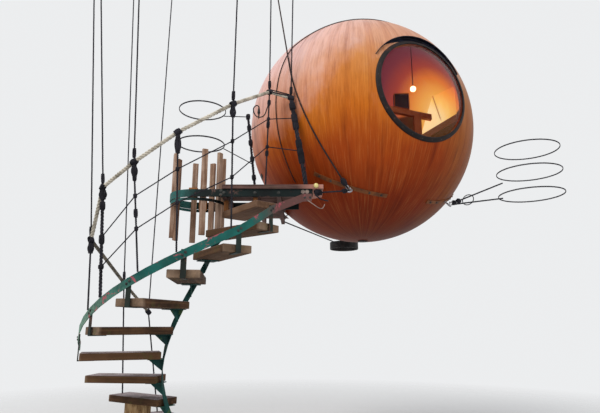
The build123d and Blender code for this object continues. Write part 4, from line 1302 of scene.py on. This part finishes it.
def bead_outline():
    middle, height = window_radius - 0.0025, on_ball(window_radius, 0.014)
    turns = [2 * math.pi * i / 12 for i in range(12)]
    return [(middle + 0.0065 * math.cos(t), height + 0.0075 * math.sin(t)) for t in turns]


def window_set(side, axis):
    up, across = window_axes(axis)
    for part, outline, material, replaced, sharp in (
        ("ring", ring_outline(), metal["dark_bronze"], [f"window_ring_{side}"], 40),
        ("bead", bead_outline(), metal["forged_iron"], (), 60),
    ):
        name = f"{side}_window_{part}"
        mesh = turned(name, outline, axis, 144)
        place_piece(name, mesh, material, replaced, sharp)
    screw_circle = 0.570
    middle = ball_middle + axis * on_ball(screw_circle, 0.0165)
    screws = circle(middle, up * screw_circle, across * screw_circle, 28, 0, 0.5)
    places = [(place, place - ball_middle) for place in screws]
    fastener_piece(f"{side}_window_screws", places, dome_bolt, 0.0050)


window_set("front", window_axis)
window_set("back", window_axis * -1)

# %% [markdown]
# A sheet-metal hood keeps the rain off the upper half of each window. It has a flashing on the
# planking, a plate turned up from it and a rolled front edge. The flashing, the plate's inner face
# and the rolled edge are dark blue-black as painted shade; the plate's top and outer face are
# tan-grey. Its outline changes on the way round, which a Screw modifier cannot do, so a section is
# drawn every two degrees and these are joined.

# %% Hoods
hood_reach = 59
hood_radius = 0.640
hood_plate = 0.0045
flashing = 0.5895


def hood_section(turn, axis, up, across):
    """Corner points of the hood's sheet at one turn, and the middle of its rolled edge."""
    angle = math.radians(turn)
    out = up * math.cos(angle) + across * math.sin(angle)
    low_share = math.cos(math.radians(hood_reach))
    narrow = min(1.0, max(0.0, (abs(turn) - 22) / 24))
    width = hood_radius - 0.004 - flashing
    inner = flashing + width * narrow * narrow * (3 - 2 * narrow)
    stands_out = 0.034 * (math.cos(angle) - low_share) / (1 - low_share)
    tip = on_ball(hood_radius, 0.0003) + 0.014 + stands_out
    outside = hood_radius + hood_plate
    outline = (
        (inner, on_ball(inner, 0.0035)),
        (hood_radius - 0.003, on_ball(hood_radius - 0.003, 0.0035)),
        (hood_radius, on_ball(hood_radius, 0.007)),
        (hood_radius, tip),
        (outside, tip),
        (outside, on_ball(outside, 0.0004)),
        (inner, on_ball(inner, 0.0004)),
    )
    corners = [ball_middle + out * r + axis * h for r, h in outline]
    return corners, ball_middle + out * (hood_radius + hood_plate / 2) + axis * tip


def hood(side, axis):
    name = f"{side}_window_hood"
    turns = range(-hood_reach, hood_reach + 1, 2)
    sections = [hood_section(turn, axis, *window_axes(axis)) for turn in turns]
    bm = bmesh.new()
    faces = join_rings(bm, [corners for corners, edge in sections])
    tube(bm, [edge for corners, edge in sections], 0.0036, 8)
    bmesh.ops.recalc_face_normals(bm, faces=bm.faces)
    # Only the top and outer faces take visor_metal; the rest keeps hood_shade, the painted shade.
    strips_a_section = len(sections[0][0])
    for number, face in enumerate(faces):
        if number % strips_a_section in (3, 4):
            face.material_index = 1
    visor_node = [f"window_visor_{side}"]
    piece = place_piece(name, bm, metal["hood_shade"], visor_node, 40)
    piece.data.materials.append(metal["visor_metal"])


hood("front", window_axis)
hood("back", window_axis * -1)

# %% [markdown]
# The panes are domed and tinted. Real glass would refract the cabin away, so most of the light goes
# straight through a transparent shader with a faint tint, and more of it is mirrored where the pane
# turns away from the eye, as on any glass. The mirrored part's dark violet colour is a painted
# reflection.


# %% Panes
def tinted_pane():
    # The dark violet base colour is a painted reflection.
    finish = Finish("tinted_pane", Base_Color=tone(70, 50, 66), Roughness=0.03)
    finish.set(Specular_IOR_Level=0.9)
    clear = finish.node("ShaderNodeBsdfTransparent", {}, {"Color": tone(250, 238, 234)})
    turned_away = finish.node("ShaderNodeLayerWeight", {}, {"Blend": 0.5}, "Facing")
    mirrored = Flow(finish, finish.shader.outputs["BSDF"])
    share = turned_away**4.0 * 0.7 + 0.025
    mixed = finish.node("ShaderNodeMixShader", {}, {0: share, 1: clear, 2: mirrored})
    finish.feed(finish.node_tree.nodes["Material Output"].inputs["Surface"], mixed)
    return finish.material


pane_glass = tinted_pane()
dress(pane_glass, "window_pane_front", "window_pane_back")
print("pane nodes:", len(pane_glass.node_tree.nodes))

# %% [markdown]
# Inside, a dark cupboard stands on a planked floor, a lamp hangs before it, and a yellow panel
# stands behind. A real lamp inside the ball would need many samples, so the surfaces that it lights
# glow a little themselves. The floor's planks are strips across one axis, like those of the ball.

# %% Cupboard and floor
plank_width = 0.11


def cupboard_wood():
    finish = Finish("cupboard_wood")
    place = finish.place()
    grain = finish.noise(finish.stretch(place, 2.0, 30.0, 30.0), 1.0, 5.0, 0.6, 0.3)
    fine = finish.noise(finish.stretch(place, 10.0, 150.0, 150.0), 1.0, 3.0, 0.6)
    tones = ((0.30, (24, 12, 12)), (0.52, (44, 22, 20)), (0.72, (70, 36, 30)))
    colour = finish.ramp(grain * 0.8 + fine * 0.2, *tones)
    finish.set(Base_Color=colour, Roughness=0.42 + fine * 0.2)
    finish.bump(grain, 0.2, 0.0008)
    return finish.material


def floor_planks():
    finish = Finish("cabin_planks", Emission_Strength=0.15)
    x, y, _ = finish.parts(finish.place())
    own, seam = finish.strips(y / plank_width + 40.0)
    grain = finish.noise(finish.join(x * 2.4, y * 44.0, own * 9.0), 1.0, 5.0, 0.6)
    tones = ((0.2, (110, 66, 32)), (0.5, (168, 112, 60)), (0.8, (206, 156, 98)))
    colour = finish.ramp(grain * 0.7 + own * 0.3, *tones)
    colour = finish.blend(seam * 0.7, colour, (46, 26, 14))
    finish.set(Base_Color=colour, Roughness=0.36 + grain * 0.2, Emission_Color=colour)
    finish.bump(grain * 0.4 - seam, 0.3, 0.002)
    return finish.material


dress(cupboard_wood(), "cabin_cupboard")
dress(floor_planks(), "cabin_floor")
print("plank width:", plank_width)

# %% [markdown]
# The yellow panel glows, and painted lamp light makes it brightest by its lower corner; it has a
# seam across and a dark rail below. The lamp is opal glass on a dark cord. All of these are lines
# and spots at known places, so masks on the place draw them and no more mesh is needed. The beam
# and the post before them are boards, and get a light timber with grain and eased edges, as the
# treads did.


# %% Panel and lamp
def glowing_panel():
    finish = Finish("yellow_panel", Emission_Strength=1.0, Specular_IOR_Level=0.2)
    place = finish.from_point(finish.place(), ball_middle)
    x, y, z = finish.parts(place)
    # Painted lamp light: the panel is brightest near this point, and it glows.
    from_painted_glow = finish.distance(place, (0.86, -0.177, 0.13))
    grain = finish.noise(finish.join(x * 30.0, y, z * 4.0), 1.0, 4.0, 0.6)
    colour = finish.ramp(
        from_painted_glow + (grain - 0.5) * 0.10,
        (0.14, (252, 240, 180)),
        (0.28, (250, 216, 118)),
        (0.42, (242, 176, 78)),
        (0.54, (220, 136, 62)),
    )
    from_seam = (x - 0.94 - (0.42 - z) * 0.26).size()
    seam_share = finish.mask(z, 0.10, 0.16) * 0.7
    colour = finish.fleck(colour, (120, 62, 30), from_seam, 0.012, 0.004, seam_share)
    over_rail = z - (x - 0.752) * 0.617 + 0.077
    colour = finish.fleck(colour, (84, 42, 28), over_rail, 0.004, -0.004, 0.95)
    finish.set(Base_Color=colour, Roughness=0.5 + grain * 0.15, Emission_Color=colour)
    return finish.material


def lamp_opal():
    finish = Finish("lamp_opal", Roughness=0.35, Emission_Strength=3.0)
    place = finish.place()
    glass = finish.mask(finish.parts(place)[2], 1.672, 1.668)
    swirl = finish.noise(place, 30.0, 3.0, 0.5)
    opal = finish.blend(swirl, (255, 226, 160), (255, 246, 220))
    finish.set(Base_Color=finish.blend(glass, (84, 40, 36), opal))
    finish.set(Emission_Color=finish.blend(glass, (22, 9, 9), opal))
    finish.bump(swirl, 0.1, 0.0005)
    return finish.material


dress(glowing_panel(), "cabin_panel")
dress(lamp_opal(), "cabin_lamp")
print("cabin pieces with a finish:", [name for name in nodes if name.startswith("cabin_")])
worn_timber("cabin_beams", ["cabin_frame"], timber["cabin"], 0.004, 21)

# %% [markdown]
# The cupboard's door is framed by four slim rods. They are tubes along its corners, because a frame
# cut from a plate would need a hole, and the rods are all that shows through the window.

# %% Edges of the cupboard
cupboard_front = 0.862
cupboard_corners = [(2.297, 1.370), (2.482, 1.3295), (2.482, 1.546), (2.297, 1.546)]
corners = [Vector((x, cupboard_front, z)) for x, z in cupboard_corners]
edge_bm = bmesh.new()
for start, end in zip(corners, corners[1:] + corners[:1]):
    tube(edge_bm, resample([start, end], 0.05), 0.006, 6)
rods = place_piece("cupboard_edges", edge_bm, timber["cabin"], (), 40)
store_grain(rods.data, 4)

# %% [markdown]
# The door continues the planking, so it takes the same finish. A ring pull and three strap
# hinges bent to the ball make it read as a door. Plates are laid on the ball by mapping a flat
# outline with rounded corners to its skin.

# %% Door fittings
plate_foot = 0.0004


def ball_plate(bm, azimuth, latitude, upright, length, width, thickness):
    """Plate with rounded corners bent to the ball, lying or upright."""
    middle = heading(azimuth, latitude)
    eastward = plumb.cross(middle).normalized()
    along, side = eastward, middle.cross(eastward)
    if upright:
        along, side = side, -along
    outline = []
    for flat in circle(Vector(), east, north, 24):
        rounded = [math.copysign(min(1.0, abs(value) ** 0.35), value) for value in flat.xy]
        outline.append((rounded[0] * length / 2, rounded[1] * width / 2))
    rings = []
    for height, share in ((0.0, 1.0), (thickness * 0.8, 1.0), (thickness, 0.97)):
        reach = share / ball_radius
        flats = [middle + along * (x * reach) + side * (y * reach) for x, y in outline]
        out = ball_radius + plate_foot + height
        rings.append([ball_middle + flat.normalized() * out for flat in flats])
    join_rings(bm, rings)
    bmesh.ops.recalc_face_normals(bm, faces=bm.faces)


dress(planking, "door_leaf")
hinge_azimuth = 186.6
pull_azimuth, pull_latitude = 163.6, -8.0
pull_out = heading(pull_azimuth, pull_latitude)
pull_side = plumb.cross(pull_out).normalized() * 0.035
pull_up = pull_out.cross(pull_side)
pull_middle = ball_middle + pull_out * (ball_radius + 0.018)
stem = [pull_middle - pull_out * 0.014, pull_middle + pull_out * 0.004]
door_bm = bmesh.new()
for hinge_latitude in (-26.0, -8.0, 10.0):
    ball_plate(door_bm, hinge_azimuth, hinge_latitude, False, 0.17, 0.045, 0.006)
ball_plate(door_bm, pull_azimuth, pull_latitude, True, 0.16, 0.05, 0.005)
tube(door_bm, circle(pull_middle - pull_up, pull_side, pull_up, 24, 1), 0.006, 8, caps=False)
tube(door_bm, resample(stem, 0.006), 0.010, 10)
place_piece("door_ironwork", door_bm, metal["forged_iron"], (), 35)

# %% [markdown]
# The straps under the ball are bolted through the planking, and a bow shackle joins each forged eye
# to its rope. A shackle is a bar bent to a U with a pin across its ends, so it is a tube along a
# bent path with a second tube through it.

# %% Anchors
strap_lean = math.radians(24)
strap_half = math.tan(math.radians(34)) * 1.05
strap_face = ball_radius + 0.0093
strap_places = []
for azimuth, lean in zip(anchor_azimuths, (1, -1, 1, -1)):
    outward = heading(azimuth, anchor_latitude)
    level_side = heading(azimuth + 90)
    upward = outward.cross(level_side).normalized()
    along = level_side * math.cos(strap_lean) - upward * lean * math.sin(strap_lean)
    for share in (-0.36, -0.22, 0.22, 0.36):
        place = (outward + along * share * strap_half).normalized()
        strap_places.append((ball_middle + place * strap_face, place))
fastener_piece("anchor_bolts", strap_places, hex_bolt, 0.008)


def bow_shackle(bm, eye, along, side, bar=0.0055, width=0.018, reach=0.038):
    """U-shaped bar from the eye along a rope, with its pin."""
    leg = [eye + along * (reach * i / 8 - 0.004) for i in range(9)]
    bow = circle(leg[-1], side * width, along * width, 24)[1:12]
    path = [point + side * width for point in leg] + bow
    path += [point - side * width for point in reversed(leg)]
    tube(bm, path, bar, 8)
    pin = [eye - side * (width + 0.013), eye + side * (width + 0.013)]
    tube(bm, resample(pin, 0.02), bar * 0.95, 8)
    pin_head = ((bar * 1.7, 0.0), (bar * 1.7, 0.007), (bar * 1.4, 0.009))
    spin(bm, eye + side * (width + 0.008), side, pin_head, 6)


tugs = (toward_eye * -1, right_run.normalized(), back_run, heading(anchor_azimuths[3]))
shackle_bm = bmesh.new()
for eye, tug, azimuth in zip(anchor_eyes, tugs, anchor_azimuths):
    across_eye = heading(azimuth, anchor_latitude).cross(heading(azimuth + 90)).normalized()
    side = (across_eye - tug * across_eye.dot(tug)).normalized()
    bow_shackle(shackle_bm, eye + tug * 0.016, tug, side)
place_piece("anchor_shackles", shackle_bm, metal["bright_steel"], (), 50)

# %% [markdown]
# A bent steel hook and two rings are screwed to the landing's corner. The solid hook is a run of
# straight bars, so here it is one tube along a line whose elbow is rounded: points between two
# straight runs, each blended twice, which is how a Bezier curve is drawn.


# %% Hook at the landing's corner
def middle_of(points):
    return sum(points, Vector()) / len(points)


def bent_line(start, elbow, end, share_bent=0.3, count=12):
    """A line through a rounded elbow."""
    first, last = elbow.lerp(start, share_bent), elbow.lerp(end, share_bent * 1.8)
    line = resample([start, first], 0.02)
    for i in range(1, count + 1):
        share = i / count
        line.append(first.lerp(elbow, share).lerp(elbow.lerp(last, share), share))
    return line + resample([last, end], 0.02)[1:]


fitting_points = [v.co.copy() for v in nodes["corner_fittings"].data.vertices]
hook_depth = middle_of([p for p in fitting_points if p.z < -0.1]).y
hook_bends = ((1.171, -0.079), (1.321, -0.186), (1.352, -0.126))
hook_corners = [Vector((x, hook_depth, z)) for x, z in hook_bends]
hook_bm = bmesh.new()
tube(hook_bm, bent_line(*hook_corners), 0.0044, 10)
for low_x, high_x in ((1.10, 1.151), (1.151, 1.20)):
    middle = middle_of([p for p in fitting_points if p.z > -0.06 and low_x < p.x < high_x])
    tube(hook_bm, circle(middle, east * 0.016, plumb * 0.016, 24, 1), 0.005, 8, caps=False)
    dome_bolt(hook_bm, middle + north * 0.004, -north, 0.0115)
hook_node = ["corner_fittings"]
place_piece("corner_hook", hook_bm, metal["hook_steel"], hook_node, 50)

# %% [markdown]
# A sawn log stands under the third tread. Its bark is cracked in long ridges. A displacement
# modifier would move the sawn ends too, so the side is moved in and out by noise as it is built.
# The top shows the year rings, a fraction of the distance from the middle.

# %% Sawn log
log_foot = on_stair(147.0, 0.740, foot_level)
log_height = 0.6395
log_radius = 0.138


def bark_radius(turn, z):
    """Radius of the log where its bark is ridged."""
    spot = Vector((math.cos(turn) * 2.2, math.sin(turn) * 2.2, z * 2.0))
    coarse = chance_field.noise(spot * 4.0)
    long_ridge = chance_field.noise(Vector((turn * 7.0, z * 5.0, 3.0)))
    return log_radius * (0.965 + 0.028 * (coarse * 0.5 + long_ridge * 0.5))


def log_bark():
    finish = Finish("log_bark", Roughness=0.85, Specular_IOR_Level=0.2)
    ridges = finish.noise(finish.stretch(finish.place(), 26.0, 26.0, 5.0), 1.0, 6.0, 0.65, 0.6)
    tones = ((0.34, (84, 60, 40)), (0.50, (146, 116, 80)), (0.68, (186, 158, 118)))
    finish.set(Base_Color=finish.ramp(ridges, *tones))
    finish.bump(ridges, 0.8, 0.006)
    return finish.material


def sawn_end():
    finish = Finish("log_end", Specular_IOR_Level=0.25)
    place = finish.from_point(finish.place(), log_foot)
    x, y, _ = finish.parts(place)
    wander = finish.noise(place, 9.0, 3.0, 0.5)
    reach = (x * x + y * y) ** 0.5 + (wander - 0.5) * 0.012
    year = finish.mask((reach * 95.0).fraction(), 0.55, 1.0)
    colour = finish.blend(year * 0.6, (206, 176, 132), (150, 112, 72))
    colour = finish.fleck(colour, (84, 60, 42), reach, 0.118, 0.130)
    finish.set(Base_Color=colour, Roughness=0.7 + year * 0.1)
    finish.bump(year, 0.3, 0.001)
    return finish.material


sides, rows = 96, 40
turns = [2 * math.pi * k / sides for k in range(sides)]
log_rings = []
for z in [log_height * j / rows for j in range(rows + 1)]:
    outs = [bark_radius(turn, z) for turn in turns]
    flat = [(math.cos(turn) * out, math.sin(turn) * out) for turn, out in zip(turns, outs)]
    log_rings.append([log_foot + Vector((x, y, z)) for x, y in flat])
log_bm = bmesh.new()
join_rings(log_bm, log_rings)
log = place_piece("sawn_log", log_bm, log_bark(), ["log_footing"], 50)
log.data.materials.append(sawn_end())
for face in log.data.polygons:
    if len(face.vertices) == sides:
        face.material_index = 1

# %% [markdown]
# Two timber blocks take the strap's pressure, and a small glazed ball, cream and a little scuffed,
# caps the landing's corner. The blocks get the boards' eased edges. The ball's solid is already a
# true sphere, so only a finish is added: a light coat over two tones in clouds.

# %% Bearing blocks and the ball at the corner
block_nodes = ["bearing_block_near", "bearing_block_far"]
worn_timber("bearing_blocks", block_nodes, timber["block"], 0.003, 31)


def glazed_ball():
    finish = Finish("cream_ball", Coat_Weight=0.2)
    place = finish.place()
    cloud = finish.noise(place, 30.0, 4.0, 0.6)
    scuff = finish.noise(place, 140.0, 3.0, 0.7)
    colour = finish.fleck((190, 172, 96), (222, 210, 140), cloud, 0.35, 0.7)
    colour = finish.fleck(colour, (150, 134, 104), scuff, 0.64, 0.74, 0.5)
    finish.set(Base_Color=colour, Roughness=0.35 + scuff * 0.3)
    finish.bump(scuff, 0.2, 0.0006)
    return finish.material


dress(glazed_ball(), "corner_ball")

# %% [markdown]
# The floor, the world and the lamps are a plain pale studio. The floor lies where the log stands
# and fades out a few metres away, so that no edge shows. The world looks pale to the camera and in
# reflections, but lights the object at a plain level: one large warm lamp gives the soft shadows
# and a weaker one opens them.

# %% Floor, world and lamps
floor_half = 40
floor_corners = [(x, y, foot_level) for x, y in ((-1, -1), (1, -1), (1, 1), (-1, 1))]
floor_corners = [(x * floor_half, y * floor_half, z) for x, y, z in floor_corners]
floor_mesh = bpy.data.meshes.new("studio_floor")
floor_mesh.from_pydata(floor_corners, [], [(0, 1, 2, 3)])
floor_finish = Finish("studio_floor", Base_Color=(0.71, 0.71, 0.71, 1.0), Roughness=0.9)
floor_finish.set(Specular_IOR_Level=0.1)
reach = floor_finish.distance(floor_finish.place(), (0.8, 0.5, foot_level))
floor_finish.set(Alpha=floor_finish.mask(reach, 9.0, 4.0))
floor_mesh.materials.append(floor_finish.material)
add_object("studio_floor", floor_mesh)


def studio_world(seen, light_tone, strength):
    """A world that looks pale but lights the object at a plain level."""
    world = bpy.data.worlds.new("studio")
    bpy.context.scene.world = world
    world.use_nodes = True
    wiring = Wiring(world.node_tree)
    light = world.node_tree.nodes["Background"]
    wiring.feed(light.inputs["Color"], light_tone)
    wiring.feed(light.inputs["Strength"], strength)
    backdrop = wiring.node("ShaderNodeBackground", {}, {"Color": seen})
    ray = wiring.node("ShaderNodeLightPath", out="Is Camera Ray")
    shown = ray.maths("MAXIMUM", ray, ray.output("Is Glossy Ray"))
    shown = ray.maths("MAXIMUM", shown, ray.output("Is Transmission Ray"))
    lit = Flow(wiring, light.outputs[0])
    mixed = wiring.node("ShaderNodeMixShader", {}, {0: shown, 1: lit, 2: backdrop})
    wiring.feed(world.node_tree.nodes["World Output"].inputs["Surface"], mixed)


def lamp(name, place, aim, width, power, colour):
    data = bpy.data.lights.new(name, "AREA")
    data.shape = "DISK"
    data.size = width
    data.energy = power
    data.color = colour
    made = add_object(name, data)
    made.location = place
    made.rotation_euler = (Vector(aim) - Vector(place)).to_track_quat("-Z", "Y").to_euler()


studio_world((0.84, 0.85, 0.86, 1.0), (0.97, 0.98, 1.0, 1.0), 0.62)
lamp("key_lamp", (-6.5, -7.0, 10.0), (1.3, 0.6, 0.3), 9.0, 1500.0, (1.0, 0.98, 0.95))
lamp("fill_lamp", (8.0, -7.0, 3.0), (1.5, 0.8, 0.3), 8.0, 350.0, (0.95, 0.97, 1.0))
print("lamps:", len(bpy.data.lights))

# %% [markdown]
# The looks must not change the object's size. Last, the number of packed solids that still show
# is printed.

# %% Solids that stay in view
print("solids that stay in view:", len([o for o in nodes.values() if not o.hide_render]))
